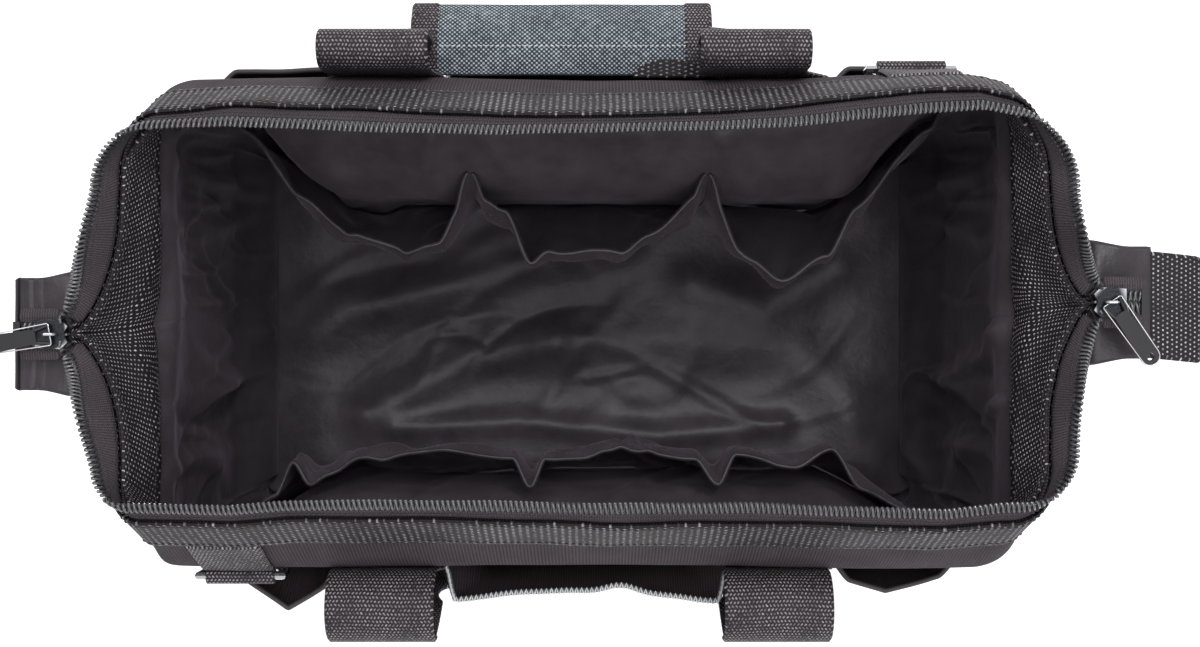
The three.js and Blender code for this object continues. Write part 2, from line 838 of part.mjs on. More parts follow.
function sliderPlate(low, high) {
  const half = sliderLength / 2;
  const waist = sliderHalfWidth - sliderWaist;
  const one = sliderOutline.map(([x, y]) => [x * half, y * sliderHalfWidth]);
  const other = one.slice(0, -1).reverse().map(([x, y]) => [x, -y]);
  const points = [[half, -waist], [half, waist], ...one, ...other];
  const shape = new THREE.Shape(points.map(([x, y]) => new THREE.Vector2(x, y)));
  return new THREE.ExtrudeGeometry(shape, { depth: high - low, bevelEnabled: false })
    .translate(0, 0, low);
}

function bailGeometry() {
  const sunk = plateTop - joinDepth;
  const top = plateTop + bailRise - bailWire / 2;
  const lean = bailReach - bailWire / 2;
  const left = [[-lean, sunk], [-lean, top - bailCorner], [bailCorner - lean, top]];
  const route = [...left, ...left.map(([x, z]) => [-x, z]).reverse()];
  const rings = route.map(([x, z], k) => {
    const [bx, bz] = route[Math.max(0, k - 1)];
    const [ax, az] = route[Math.min(route.length - 1, k + 1)];
    const ahead = new THREE.Vector3(ax - bx, 0, az - bz).normalize();
    const across = new THREE.Vector3(0, 1, 0);
    const up = ahead.clone().cross(across);
    return roundRing(new THREE.Vector3(x, 0, z), across, up, bailWire / 2);
  });
  return ringSolid(rings);
}

function sliderGeometry() {
  const half = sliderLength / 2;
  const outer = sliderHalfWidth - sliderWaist;
  const flange = (hand, up) => {
    const ys = [hand * (outer - sliderFlangeWidth), hand * outer].sort((a, b) => a - b);
    const zs = [up * sliderTapeSlotHalf, up * (sliderChannelHalf + joinDepth)].sort((a, b) => a - b);
    return block([-half * sliderOutline[0][0], ys[0], zs[0]], [half - joinDepth, ys[1], zs[1]]);
  };
  const wedgeHigh = sliderChannelHalf + joinDepth;
  return join(
    sliderPlate(-plateTop, -sliderChannelHalf),
    sliderPlate(sliderChannelHalf, plateTop),
    block([-half * wedgeFrom, -wedgeHalfWidth, -wedgeHigh], [-half * wedgeTo, wedgeHalfWidth, wedgeHigh]),
    flange(-1, -1), flange(-1, 1), flange(1, -1), flange(1, 1),
    bailGeometry(),
  );
}

// A pull: a head of wire that turns in the bail, and a flat tapered grip with an eye
function pullGeometry() {
  const shape = new THREE.Shape();
  const neck = pullNeckWidth / 2;
  const wide = pullWidth / 2;
  shape.moveTo(pullHeadLength, -neck);
  shape.lineTo(pullLength - wide, -wide);
  shape.absarc(pullLength - wide, 0, wide, -Math.PI / 2, Math.PI / 2);
  shape.lineTo(pullHeadLength, neck);
  shape.closePath();
  const eye = new THREE.Path();
  eye.absarc(pullLength - wide, 0, pullHoleRadius, 0, Math.PI * 2);
  shape.holes.push(eye);
  const flat = new THREE.ExtrudeGeometry(shape, {
    depth: pullThickness, bevelEnabled: false, curveSegments: cornerCurve,
  }).translate(0, 0, -pullThickness / 2);
  const arm = (hand) => bar([-joinDepth, hand * pullHeadHalfWidth, 0],
    [pullHeadLength + pullWire / 2, hand * (neck - pullArmLean), 0], pullWire);
  const head = bar([0, -pullHeadHalfWidth, 0], [0, pullHeadHalfWidth, 0], pullWire);
  return join(head, arm(-1), arm(1), flat);
}

const sliderPlace = (hand) =>
  new THREE.Vector3(tipPlace(hand) + hand * sliderSeat, hand * tipOffset, tailHeight);

for (const [hand, name] of [[-1, 'left'], [1, 'right']]) {
  const place = sliderPlace(hand);
  const slider = add(`slider_${name}`, sliderGeometry(), blackMetal());
  slider.rotation.z = hand < 0 ? Math.PI : 0;
  slider.position.copy(place);
  const pull = add(`pull_${name}`, pullGeometry(), blackMetal());
  pull.rotation.z = hand < 0 ? Math.PI + radians(leftPullTurn) : radians(rightPullTurn);
  pull.position.set(place.x, place.y, place.z + pullHeight);
}

// End of the zip: the cloth base of each tab, the stop on it and the wide webbing tab

const tabBaseTop = endTabHeight + tabBaseThickness / 2;

function tabBaseGeometry(hand) {
  const end = hand < 0 ? 0 : 1;
  const reach = hand < 0 ? tabBaseShare * endShare : 1 - tabBaseShare * endShare;
  const columns = [
    ...between(shareStations, reach, end).map((share) => ({ side: -1, share })),
    ...between(shareStations, end, reach).map((share) => ({ side: 1, share })).slice(1),
  ];
  const clear = seatGap + webbingThickness + seatGap + tabBaseThickness / 2;
  const rows = steps(0, 1, 3).map((out) =>
    columns.map(({ side, share }) => {
      const wall = onWall(side, share, rimHeight - tabBaseDrop, -clear);
      const edge = new THREE.Vector3(hand * tabBaseReach, wall.y, endTabHeight);
      const settle = out ** tabBaseSettle;
      return new THREE.Vector3(lerp(wall.x, edge.x, out), wall.y, lerp(wall.z, edge.z, settle));
    }),
  );
  return thickSheet(rows, tabBaseThickness);
}

function zipStopGeometry(hand) {
  const from = tipPlace(hand) + hand * (tailLength + seatGap);
  const to = from + hand * zipStopLength;
  const y = hand * tipOffset;
  const xs = [from, to].sort((a, b) => a - b);
  const foot = tabBaseTop + seatGap + zipStopStand;
  const top = tailHeight + coilHalfThickness + zipStopStand;
  return block([xs[0], y - zipStopHalfWidth, foot], [xs[1], y + zipStopHalfWidth, top]);
}

// A strip of webbing with a side view of even thickness along a route in X and Z. Its
// first end is rounded about the first point, where it bends against its base.
function stripGeometry(route, middle, width, thickness) {
  const points = route.map(([x, z]) => new THREE.Vector2(x, z));
  const offset = (k, sign) => {
    const before = points[Math.max(0, k - 1)];
    const after = points[Math.min(points.length - 1, k + 1)];
    const ahead = after.clone().sub(before).normalize();
    return points[k].clone()
      .add(new THREE.Vector2(-ahead.y, ahead.x).multiplyScalar((sign * thickness) / 2));
  };
  const startAngle = points[1].clone().sub(points[0]).angle() + Math.PI / 2;
  const round = steps(startAngle, startAngle + Math.PI, cornerCurve).map((angle) =>
    points[0].clone()
      .add(new THREE.Vector2(Math.cos(angle), Math.sin(angle)).multiplyScalar(thickness / 2)));
  const along = points.slice(1).map((_, k) => k + 1);
  const outline = [...round, ...along.map((k) => offset(k, -1)),
    ...along.reverse().map((k) => offset(k, 1))];
  return new THREE.ExtrudeGeometry(new THREE.Shape(outline), { depth: width, bevelEnabled: false })
    .rotateX(Math.PI / 2)
    .translate(0, middle + width / 2, 0);
}

// The place where an end tab bends
const tabBendReach = tabBaseReach + seatGap + endTabThickness / 2;

function endTabGeometry(hand) {
  const out = ([along, down]) => [hand * (tabBendReach + along), endTabHeight - down];
  const standing = steps(0, 1, 4).map((share) => [endTabLength * share, endTabDroop * share ** 3]);
  const hanging = steps(0, 1, 3).map((share) => [hangingTabSwing * share ** 2, hangingTabLength * share]);
  const route = (hand > 0 ? standing : hanging).map(out);
  return stripGeometry(route, hand * tipOffset, endTabWidth, endTabThickness);
}

for (const [hand, name] of [[-1, 'left'], [1, 'right']]) {
  add(`tab_base_${name}`, tabBaseGeometry(hand), satin());
  add(`zip_stop_${name}`, zipStopGeometry(hand), blackMetal());
  add(`end_tab_${name}`, endTabGeometry(hand), webbing());
}

// Handle webbing: sewn straps on the walls, free arches and the handles that hang from them

const strapDepth = seatGap + strapThickness;
const strapMiddle = (side) =>
  side * (wallHalfWidth(side, bellyTopHeight) + seatGap + strapThickness / 2);

function sewnStrapGeometry(side, x) {
  const columns = sideColumns(side, shareAt(x - strapWidth / 2), shareAt(x + strapWidth / 2));
  return wallLayer(columns, wallHeights(strapSewnFoot, strapSewnTop),
    constant(-strapDepth), constant(-seatGap));
}

const archRadius = (side) => (side < 0 ? frontArchRadius : backArchRadius);
const archHeight = (side) => strapSewnTop + (side < 0 ? frontArchRise : backArchRise);
const archMiddle = (side) => strapMiddle(side) + side * archRadius(side);
const archTurn = (side) => (side < 0 ? 180 + frontHandleLean : 180);
const handleShift = (side) => (side < 0 ? frontHandleShift : backHandleShift);

// The arch's side view: up from the sewn end, then round its middle
function archRoute(side) {
  const start = [strapMiddle(side), strapSewnTop + seatGap];
  const count = 8;
  const arc = steps(0, archTurn(side), count).map((turn) => [
    archMiddle(side) - side * archRadius(side) * Math.cos(radians(turn)),
    archHeight(side) + archRadius(side) * Math.sin(radians(turn)),
  ]);
  return [start, ...arc];
}

function archGeometry(side, x) {
  const route = archRoute(side);
  const rows = route.map(([y, z], k) => {
    const slide = handleShift(side) * smooth((k - 1) / (route.length - 2));
    return [-0.5, 0.5].map((share) => new THREE.Vector3(x + slide + share * strapWidth, y, z));
  });
  return thickSheet(rows, strapThickness);
}

// The hanging handle's side view: a place and an outward normal at a distance from the arch
function handleSide(side, distance) {
  const [startY, startZ] = archRoute(side).at(-1);
  const startTurn = side < 0 ? -frontHandleLean : 0;
  const curveFrom = side < 0 ? Infinity : backLegStraight;
  const curveLength = radians(backLegCurveTurn) * backLegCurveRadius;
  const place = (run) => {
    const straight = Math.min(run, curveFrom);
    const bent = Math.min(Math.max(run - curveFrom, 0), curveLength);
    const after = Math.max(run - curveFrom - curveLength, 0);
    const angle = radians(startTurn);
    const bend = bent / backLegCurveRadius;
    let out = straight * Math.sin(angle);
    let down = straight * Math.cos(angle);
    out += backLegCurveRadius * (1 - Math.cos(bend)) + after * Math.sin(bend);
    down += backLegCurveRadius * Math.sin(bend) + after * Math.cos(bend);
    return { out, down, turn: angle + bend };
  };
  const { out, down, turn } = place(distance);
  return {
    y: startY + side * out,
    z: startZ - down,
    normal: new THREE.Vector3(0, side * Math.cos(turn), Math.sin(turn)),
  };
}

// A place of the flat handle pattern, laid on that side view
function onHandle(side, x, distance, lift) {
  const { y, z, normal } = handleSide(side, distance);
  return new THREE.Vector3(x, y, z).addScaledVector(normal, lift);
}

function handleGeometry(side) {
  const half = strapSpacing / 2;
  const turnSteps = 7;
  const leg = steps(seatGap, handleDrop - handleBend, 2).map((run) => ({ x: -half, run, turn: 0 }));
  const bend = steps(0, 90, turnSteps).slice(1).map((turn) => ({
    x: -half + handleBend * (1 - Math.cos(radians(turn))),
    run: handleDrop - handleBend + handleBend * Math.sin(radians(turn)),
    turn,
  }));
  const leftHalf = [...leg, ...bend];
  const rightHalf = leftHalf.map(({ x, run, turn }) => ({ x: -x, run, turn: 180 - turn })).reverse();
  const rings = [...leftHalf, ...rightHalf].map(({ x, run, turn }) => {
    const fold = smooth(Math.min(turn, 180 - turn) / 90);
    const wide = lerp(strapWidth, gripWidth, fold) / 2;
    const thick = lerp(strapThickness, gripThickness, fold) / 2;
    const acrossX = Math.cos(radians(turn));
    const acrossRun = -Math.sin(radians(turn));
    const corner = (across, lift) =>
      onHandle(side, handleShift(side) + x + across * wide * acrossX,
        Math.max(seatGap, run + across * wide * acrossRun), lift * thick);
    const upper = steps(-1, 1, 4).map((across) => corner(across, 1));
    const lower = steps(1, -1, 4).map((across) => corner(across, -1));
    return [...upper, ...lower];
  });
  return ringSolid(rings);
}

for (const [side, name] of [[-1, 'front'], [1, 'back']]) {
  for (const [hand, hold] of [[-1, 'left'], [1, 'right']]) {
    const x = (hand * strapSpacing) / 2;
    add(`${name}_strap_${hold}`, sewnStrapGeometry(side, x), webbing());
    add(`${name}_arch_${hold}`, archGeometry(side, x), webbing());
  }
  add(`${name}_handle`, handleGeometry(side), webbing());
}

// Grip wrap: a cloth sewn over the back handle's grip, and its loose flap on the inner side

// A cloth over a side view of [y, z] places, thicker along its two bound ends
function wrapCloth(route, half) {
  const bound = half - wrapBindingWidth;
  const plain = bound - bindingSlope;
  const xs = [-half, -bound, -plain, plain, bound, half];
  const extra = [wrapBindingExtra, wrapBindingExtra, 0, 0, wrapBindingExtra, wrapBindingExtra];
  const places = route.map(([y, z]) => new THREE.Vector2(y, z));
  const grid = (raise) =>
    places.map((place, k) => {
      const ahead = places[Math.min(places.length - 1, k + 1)].clone().sub(places[Math.max(0, k - 1)]);
      const normal = new THREE.Vector2(-ahead.y, ahead.x).normalize();
      return xs.map((x, column) => {
        const { x: y, y: z } = place.clone().addScaledVector(normal, raise(extra[column]));
        return new THREE.Vector3(backHandleShift + x, y, z);
      });
    });
  return sheetSolid(grid((more) => wrapThickness + more), grid(() => 0));
}

const gripHalf = gripWidth / 2;
const wrapOver = steps(handleDrop - gripHalf - wrapInnerReach, handleDrop + gripHalf, 4).map((run) => {
  const { y, z } = onHandle(1, 0, run, gripThickness / 2 + seatGap);
  return [y, z];
});
const [wrapEdge, wrapNext] = wrapOver;
const wrapSeam = [wrapEdge[0] - wrapSeamReach, wrapEdge[1] + wrapSeamRise];
const wrapLap = [0, 1].map((axis) => lerp(wrapEdge[axis], wrapNext[axis], joinDepth));
const betweenLegs = (strapSpacing - strapWidth) / 2 - wrapToLeg;
add('grip_wrap', join(wrapCloth(wrapOver, wrapLength / 2),
  wrapCloth([wrapSeam, wrapEdge, wrapLap], betweenLegs)), ballistic());
const flapEnd = [wrapSeam[0] - wrapFlapReach, wrapSeam[1] - wrapFlapSink];
add('wrap_flap', wrapCloth([flapEnd, [wrapSeam[0] - seamGap, wrapSeam[1]]], betweenLegs), ballistic());

// Carrying rings and their webbing tabs

// How far out a ring's bar hangs, clear of the wall behind the tab and behind the ring
const ringHalfWidth = ringInnerRadius + ringWire / 2;
const ringFootHeight = ringBarHeight - ringDrop - ringHalfWidth - ringWire / 2;
function ringBarReach(side) {
  const widest = Math.min(ringBarHeight, Math.max(ringFootHeight, bellyTopHeight));
  const clear = seatGap + ringWire / 2 + ringStand;
  return Math.max(wallHalfWidth(side, ringBarHeight) + seatGap + tabLoopWall + clear,
    wallHalfWidth(side, widest) + clear);
}

// A tab: a strip that hangs straight from under the band, or lies on the wall where that
// stands further out, and a loop round the ring's bar
function ringTabGeometry(side, x) {
  const from = shareAt(x - ringTabWidth / 2, ringBarHeight);
  const to = shareAt(x + ringTabWidth / 2, ringBarHeight);
  const top = bandFootHeight - seatGap;
  const outer = ringWire / 2 + seatGap + tabLoopWall;
  const hang = (height) => lerp(wallHalfWidth(side, top), ringBarReach(side) - outer - seatGap,
    (top - height) / (top - ringBarHeight));
  const layer = (more) =>
    wallHeights(ringBarHeight, top).map((height) =>
      sideColumns(side, from, to).map(({ share }) => {
        const wall = onWall(side, share, height, 0);
        return wall.setY(side * (Math.max(Math.abs(wall.y), hang(height)) + seatGap + more));
      }));
  const strip = sheetSolid(layer(tabStripThickness), layer(0));
  const left = onWall(side, from, ringBarHeight, 0).x;
  const right = onWall(side, to, ringBarHeight, 0).x;
  const y = side * ringBarReach(side);
  const tube = bar([left, y, ringBarHeight], [right, y, ringBarHeight], outer * 2, tubeSides);
  const hole = bar([left - ringWire, y, ringBarHeight], [right + ringWire, y, ringBarHeight],
    ringWire + 2 * seatGap, tubeSides);
  return cut(join(strip, tube), hole);
}

function ringGeometry(side, x) {
  const half = ringHalfWidth;
  const y = side * ringBarReach(side);
  const arc = steps(0, 180, 10).map((turn) => [
    x + half * Math.cos(radians(turn)),
    ringBarHeight - ringDrop - half * Math.sin(radians(turn)),
  ]);
  const route = [[x + half, ringBarHeight], ...arc, [x - half, ringBarHeight], [x, ringBarHeight]];
  const rings = route.map(([px, pz], k) => {
    const [bx, bz] = route[(k - 1 + route.length) % route.length];
    const [ax, az] = route[(k + 1) % route.length];
    const into = new THREE.Vector3(px - bx, 0, pz - bz).normalize();
    const from = new THREE.Vector3(ax - px, 0, az - pz).normalize();
    const ahead = into.clone().add(from).normalize();
    const miter = 1 / into.dot(ahead);
    const outward = new THREE.Vector3(-ahead.z, 0, ahead.x).multiplyScalar(miter);
    return roundRing(new THREE.Vector3(px, y, pz), outward, new THREE.Vector3(0, 1, 0), ringWire / 2);
  });
  return ringSolid(rings, true);
}

for (const [side, name, x] of [[-1, 'front', frontRingPlace], [1, 'back', backRingPlace]]) {
  add(`${name}_ring_tab`, ringTabGeometry(side, x), webbing());
  add(`${name}_ring`, ringGeometry(side, x), nickel());
}

// Pockets: sheets that are sewn down at the sides and the foot and gape at the mouth

// How far a pocket stands off at a place across it, 0 at its sewn sides
function pocketCrown(across) {
  return smooth(Math.min(across, 1 - across) / pocketMarginShare);
}

function pocketGeometry(side, from, to, mouth, standOff) {
  const first = shareAt(from);
  const last = shareAt(to);
  const columns = sideColumns(side, first, last, steps(first, last, pocketColumns).slice(1, -1));
  const rows = steps(pocketFootHeight, mouth, pocketRows).slice(1, -1);
  const heights = wallHeights(pocketFootHeight, mouth, rows);
  const stand = (share, height) => {
    const across = (share - first) / (last - first);
    const up = (height - pocketFootHeight) / (mouth - pocketFootHeight);
    return seatGap + standOff(across, up);
  };
  return wallLayer(columns, heights,
    (share, height) => -stand(share, height) - pocketThickness,
    (share, height) => -stand(share, height));
}

const pocketFullness = (up) => smooth(up * pocketFullRise);
const flareUp = (up) => smooth((up - flareFrom) / (1 - flareFrom));
const strapInnerEdge = (strapSpacing - strapWidth) / 2;

for (const [side, name] of [[-1, 'front'], [1, 'back']]) {
  const innerEdge = strapInnerEdge - pocketToStrap;
  add(`${name}_centre_pocket`,
    pocketGeometry(side, -innerEdge, innerEdge, centrePocketMouth, (across, up) => {
      const corners = side < 0 ? lerp(centreFlareMiddle, 1, (2 * across - 1) ** 2) : backFlareShare;
      return pocketCrown(across) *
        (centrePocketSlack * pocketFullness(up) + centrePocketFlare * corners * flareUp(up));
    }), pocketFabric());
  for (const [hand, hold] of [[-1, 'left'], [1, 'right']]) {
    const ends = [hand * sidePocketInnerReach, hand * sidePocketOuterReach].sort((a, b) => a - b);
    const flare = side < 0 && hand < 0 ? frontLeftFlare : 0;
    add(`${name}_side_pocket_${hold}`,
      pocketGeometry(side, ends[0], ends[1], sidePocketMouth, (across, up) =>
        pocketCrown(across) * (sidePocketSlack * pocketFullness(up) + flare * flareUp(up))),
      pocketFabric());
  }
}

// Pockets inside, on the loose lining
function innerPocketGeometry(side, from, to) {
  const first = shareAt(from);
  const last = shareAt(to);
  const columns = sideColumns(side, first, last, liningShares);
  const heights = wallHeights(innerPocketFoot, innerPocketMouth, liningHeights);
  const depth = (more) => (share, height) => {
    const across = (share - first) / (last - first);
    const up = (height - innerPocketFoot) / (innerPocketMouth - innerPocketFoot);
    const bulge = innerPocketBulge * pocketCrown(across) * smooth(up * innerFullRise);
    return liningInner + liningSag(share, height, side) + seatGap + bulge + more;
  };
  return wallLayer(columns, heights, depth(0), depth(pocketThickness));
}

add('front_inner_pocket',
  innerPocketGeometry(-1, -innerPocketEnd + seamGap, innerPocketEnd - seamGap), satin());
['left', 'middle', 'right'].forEach((hold, k) => {
  const [from, to] = [innerPocketThirds[k] + seamGap, innerPocketThirds[k + 1] - seamGap];
  add(`back_inner_pocket_${hold}`, innerPocketGeometry(1, from, to), satin());
});

export default bag;
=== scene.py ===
"""Zippered tool bag, standing open, seen from straight above.

The cloth is built here as lofted surfaces with folds; the metal parts are the frame's own.
Lengths in the formulas are millimetres. A side is -1 for the front half and 1 for the back.
"""

import math

import bpy
import numpy as np
from mathutils import Matrix


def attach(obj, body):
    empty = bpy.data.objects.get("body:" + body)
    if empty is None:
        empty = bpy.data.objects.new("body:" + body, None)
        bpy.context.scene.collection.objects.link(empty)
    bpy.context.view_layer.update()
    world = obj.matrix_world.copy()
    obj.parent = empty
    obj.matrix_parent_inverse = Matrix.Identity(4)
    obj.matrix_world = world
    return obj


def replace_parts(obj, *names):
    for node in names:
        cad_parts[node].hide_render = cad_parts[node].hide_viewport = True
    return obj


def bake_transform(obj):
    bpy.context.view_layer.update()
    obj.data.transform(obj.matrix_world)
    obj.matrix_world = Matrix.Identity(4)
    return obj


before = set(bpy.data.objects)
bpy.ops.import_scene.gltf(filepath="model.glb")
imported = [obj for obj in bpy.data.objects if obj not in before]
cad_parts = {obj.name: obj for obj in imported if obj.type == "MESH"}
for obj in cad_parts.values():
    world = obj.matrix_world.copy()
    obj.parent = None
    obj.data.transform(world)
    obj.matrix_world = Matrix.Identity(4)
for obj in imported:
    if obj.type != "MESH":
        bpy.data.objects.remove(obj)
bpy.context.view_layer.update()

MM = 0.001
SIDES = ((-1, "front"), (1, "back"))
HANDS = ((-1, "left"), (1, "right"))

# The bag's outline: heights, then half sizes at the base, the belly, the band and the rim
FOOT, BELLY, BAND, RIM = 7.8, 172.0, 213.0, 238.0
BASE_LENGTH, RIM_LENGTH = 198.0, 204.5
BASE_WIDTH, BAND_WIDTH, RIM_WIDTH = 108.5, 97.5, 85.0
BELLY_WIDTH = {-1: 115.5, 1: 111.5}
BASE_CORNER = 20.0
CORNER = {(-1, -1): 15.0, (-1, 1): 23.0, (1, -1): 24.0, (1, 1): 23.0}
END_BODY, END_FOLD, END_RIM = 203.0, 194.0, 203.0
# How far the mouth's ends are drawn out, and how far the zip's line lies off the middle there
TIP = {-1: 25.0, 1: 21.0}
TIP_OFFSET, TIP_POWER = 7.0, 2.4
# The outline of a half runs from share 0 at its left tip to 1 at its right tip
END_SHARE, CORNER_SHARE = 0.2, 0.1
STRAIGHT = END_SHARE + CORNER_SHARE
TAPE_POWER = {-1: {-1: 1.15, 1: 2.1}, 1: {-1: 1.35, 1: 1.6}}
# The zip: half sizes of its mouth, its closed tails and its coils
MOUTH_LENGTH, MOUTH_WIDTH = 206.5, 80.8
TAIL_HEIGHT, TAIL_LENGTH, TAIL_HALF = 219.0, 15.4, 11.0
COIL_PITCH, COIL_WIDTH = 2.2, 4.9
COIL_ROOT = COIL_WIDTH + 0.35

# How far each long side of the mouth bulges outwards, at places along the bag
BULGE = {
    1: ((-205, -150, -118, -85, -37, 6, 55, 87, 120, 144, 168, 181, 206),
        (1.0, 4.4, 3.2, 1.9, 0.6, 1.1, 2.3, 4.0, 7.8, 10.2, 11.4, 8.7, 2.0)),
    -1: ((-205, -150, -126, -85, -37, 6, 71, 120, 152, 176, 206),
         (1.0, 2.3, 0.2, 0.0, 0.6, 1.9, 1.4, 3.1, 4.0, 1.4, 0.5)),
}

# Small maths


def smooth(x):
    """0 below 0, 1 above 1, and an even curve between."""
    x = np.clip(x, 0, 1)
    return x * x * (3 - 2 * x)


def lerp(a, b, t):
    return a + (b - a) * t


def unit(v):
    """Vectors of length 1 along the last axis."""
    return v / np.maximum(np.linalg.norm(v, axis=-1, keepdims=True), 1e-12)


def spot(x, y, z):
    """One array of points from three that fit together."""
    return np.stack(np.broadcast_arrays(x, y, z), axis=-1).astype(float)


def run_along(path):
    """The distance along a path at each of its points."""
    return np.concatenate([[0], np.cumsum(np.linalg.norm(np.diff(path, axis=0), axis=-1))])


def read_at(at, run, values):
    """Points or directions given along a run, read at other distances."""
    return np.stack([np.interp(at, run, column) for column in np.asarray(values).T], -1)


def waves(u, v, seed, size, count=5):
    """A gentle uneven surface about 0: a sum of sine waves in many directions."""
    rng = np.random.default_rng(seed)
    total = np.zeros(np.broadcast(u, v).shape)
    for _ in range(count):
        turn, phase = rng.uniform(0, math.pi), rng.uniform(0, 2 * math.pi)
        length = size * rng.uniform(0.7, 1.6)
        along = u * math.cos(turn) + v * math.sin(turn)
        total = total + np.sin(2 * math.pi * along / length + phase)
    return total / count


def creases(u, v, seed, count, u_range, v_range, height, width, length, slant):
    """Cloth folds: rounded ridges, each a bell across its line and fading out along it,
    with the line itself a little bent."""
    rng = np.random.default_rng(seed)
    total = np.zeros(np.broadcast(u, v).shape)
    for _ in range(count):
        cu, cv = rng.uniform(*u_range), rng.uniform(*v_range)
        turn = rng.uniform(*slant)
        wide, far = width * rng.uniform(0.5, 1.7), length * rng.uniform(0.5, 1.5)
        bend = rng.uniform(-0.5, 0.5) / far
        tall = height * rng.uniform(0.3, 1.0) * (1 if rng.uniform() > 0.3 else -0.6)
        along = (u - cu) * math.cos(turn) + (v - cv) * math.sin(turn)
        across = -(u - cu) * math.sin(turn) + (v - cv) * math.cos(turn) - bend * along**2
        total = total + tall * np.exp(-((across / wide) ** 2) - (along / far) ** 4)
    return total


# The wall of the bag


def end_place(share):
    """0 at a tip, 1 where the end's corner begins, and more beyond."""
    return np.minimum(share, 1 - share) / END_SHARE


def by_hand(share, values):
    """The left value on an outline's left half, and the right one on its right half."""
    return np.where(np.asarray(share) < 0.5, values[-1], values[1])


HAND = {-1: -1.0, 1: 1.0}


def end_weight(share):
    """1 along an end of the bag, falling to 0 at the far side of its corners."""
    return 1 - smooth((end_place(share) - 1) / (CORNER_SHARE / END_SHARE))


def half_width(side, h):
    """A belly that swells from the base, a shoulder and a straight band up to the rim."""
    belly = BELLY_WIDTH[side]
    slope = (BAND_WIDTH - RIM_WIDTH) / (RIM - BAND)
    rise = np.clip((h - FOOT) / (BELLY - FOOT), 0, 1)
    low = BASE_WIDTH + (belly - BASE_WIDTH) * np.sin(rise * math.pi / 2)
    s = np.clip((h - BELLY) / (BAND - BELLY), 0, 1)
    mid = belly - (belly - BAND_WIDTH) * (3 * s**2 - 2 * s**3) - slope * (BAND - BELLY) * (s**3 - s**2)
    return np.where(h < BELLY, low, np.where(h < BAND, mid, BAND_WIDTH - slope * (h - BAND)))


def half_length(share, h):
    """Nearly upright, but the ends fold inwards under the band and the band spreads outwards."""
    plain = lerp(BASE_LENGTH, RIM_LENGTH, (h - FOOT) / (RIM - FOOT))
    body = lerp(BASE_LENGTH, END_BODY, np.clip((h - FOOT) / 150, 0, 1))
    folded = np.where(h < BAND, lerp(body, END_FOLD, smooth((h - 168) / (BAND - 168))),
                      lerp(END_FOLD, END_RIM, (h - BAND) / (RIM - BAND)))
    return lerp(plain, folded, end_weight(share))


def corner_radius(side, share, h):
    """The base's round corner grows evenly into each corner's own one at the belly."""
    own = by_hand(share, {hand: CORNER[side, hand] for hand in HAND})
    return lerp(BASE_CORNER, own, smooth((np.asarray(h, float) - FOOT) / 90))


def outline(side, share, length, width, grow, end_half=0.0, h=RIM, power=None, mouth=False):
    """x and y of a half outline: a straight side, round corners, and ends drawn out to a
    point by grow, on a curve whose power can differ from hand to hand. With mouth, the
    last of it runs straight into the slider."""
    hand, tip = by_hand(share, HAND), by_hand(share, TIP) * grow
    power = by_hand(share, power or {-1: TIP_POWER, 1: TIP_POWER})
    place = np.where(share < 0.5, share, 1 - share)
    radius = corner_radius(side, share, h)
    deep = width - radius
    q = np.clip(place / END_SHARE, 0, 1)
    angle = np.clip((place - END_SHARE) / CORNER_SHARE, 0, 1) * math.pi / 2
    run = np.clip((place - STRAIGHT) / (0.5 - STRAIGHT), 0, 1)
    drawn = (1 - q) ** power
    x_end = length + tip * (lerp(0.78 * drawn, 1, 1 - smooth(q / 0.07)) if mouth else drawn)
    y_end = side * lerp(end_half, deep, q) + hand * TIP_OFFSET * grow * (1 - q) ** 2
    x = np.where(place < END_SHARE, x_end, (length - radius) * (1 - run) + radius * np.cos(angle))
    y = np.where(place < END_SHARE, y_end, side * (deep + radius * np.sin(angle)))
    return hand * x, y


def bulge(side, share, x):
    """The measured outward bulge of one long side of the mouth."""
    places, sizes = BULGE[side]
    return np.interp(x, places, sizes) * (1 - end_weight(share))


def dip(share):
    """1 at the very end of the mouth, 0 from its corners on."""
    return np.cos(np.clip(end_place(share), 0, 1) * math.pi / 2) ** 2


def wall_spot(side, share, h):
    """A place on the outer face of the shell."""
    share, h = np.broadcast_arrays(np.asarray(share, float), np.asarray(h, float))
    grow = smooth((h - 170) / (RIM - 170))
    x, y = outline(side, share, half_length(share, h), half_width(side, h), grow, 0.0, h)
    y = y + side * bulge(side, share, x) * smooth((h - 165) / (RIM - 165))
    sink = smooth((h - 100) / (RIM - 100))
    z = h - 15 * sink * dip(share) - 9 * end_weight(share) * smooth((h - 190) / (RIM - 190))
    return spot(x, y, z)


def wall_normal(side, share, h):
    """Outward normals of the shell; both halves share theirs at the bag's two ends."""
    step, reach = 2e-3, 0.5

    def own(half, s):
        ahead = (wall_spot(half, np.clip(s + step, 0, 1), h)
                 - wall_spot(half, np.clip(s - step, 0, 1), h))
        up = wall_spot(half, s, h + reach) - wall_spot(half, s, h - reach)
        return unit(np.cross(up, ahead) * half)

    share, h = np.broadcast_arrays(np.asarray(share, float), np.asarray(h, float))
    near = smooth(1 - np.minimum(share, 1 - share) / 0.03)[..., None] / 2
    return unit(own(side, share) * (1 - near) + own(-side, share) * near)


def slack(side, share, h):
    """How unevenly the shell's cloth stands, the same for every layer on it."""
    u = share * 900 * side
    free = smooth((h - 20) / 60)
    return free * (1.3 * waves(u, h, 11, 150, 6) + 0.5 * waves(u, h, 12, 45, 6))


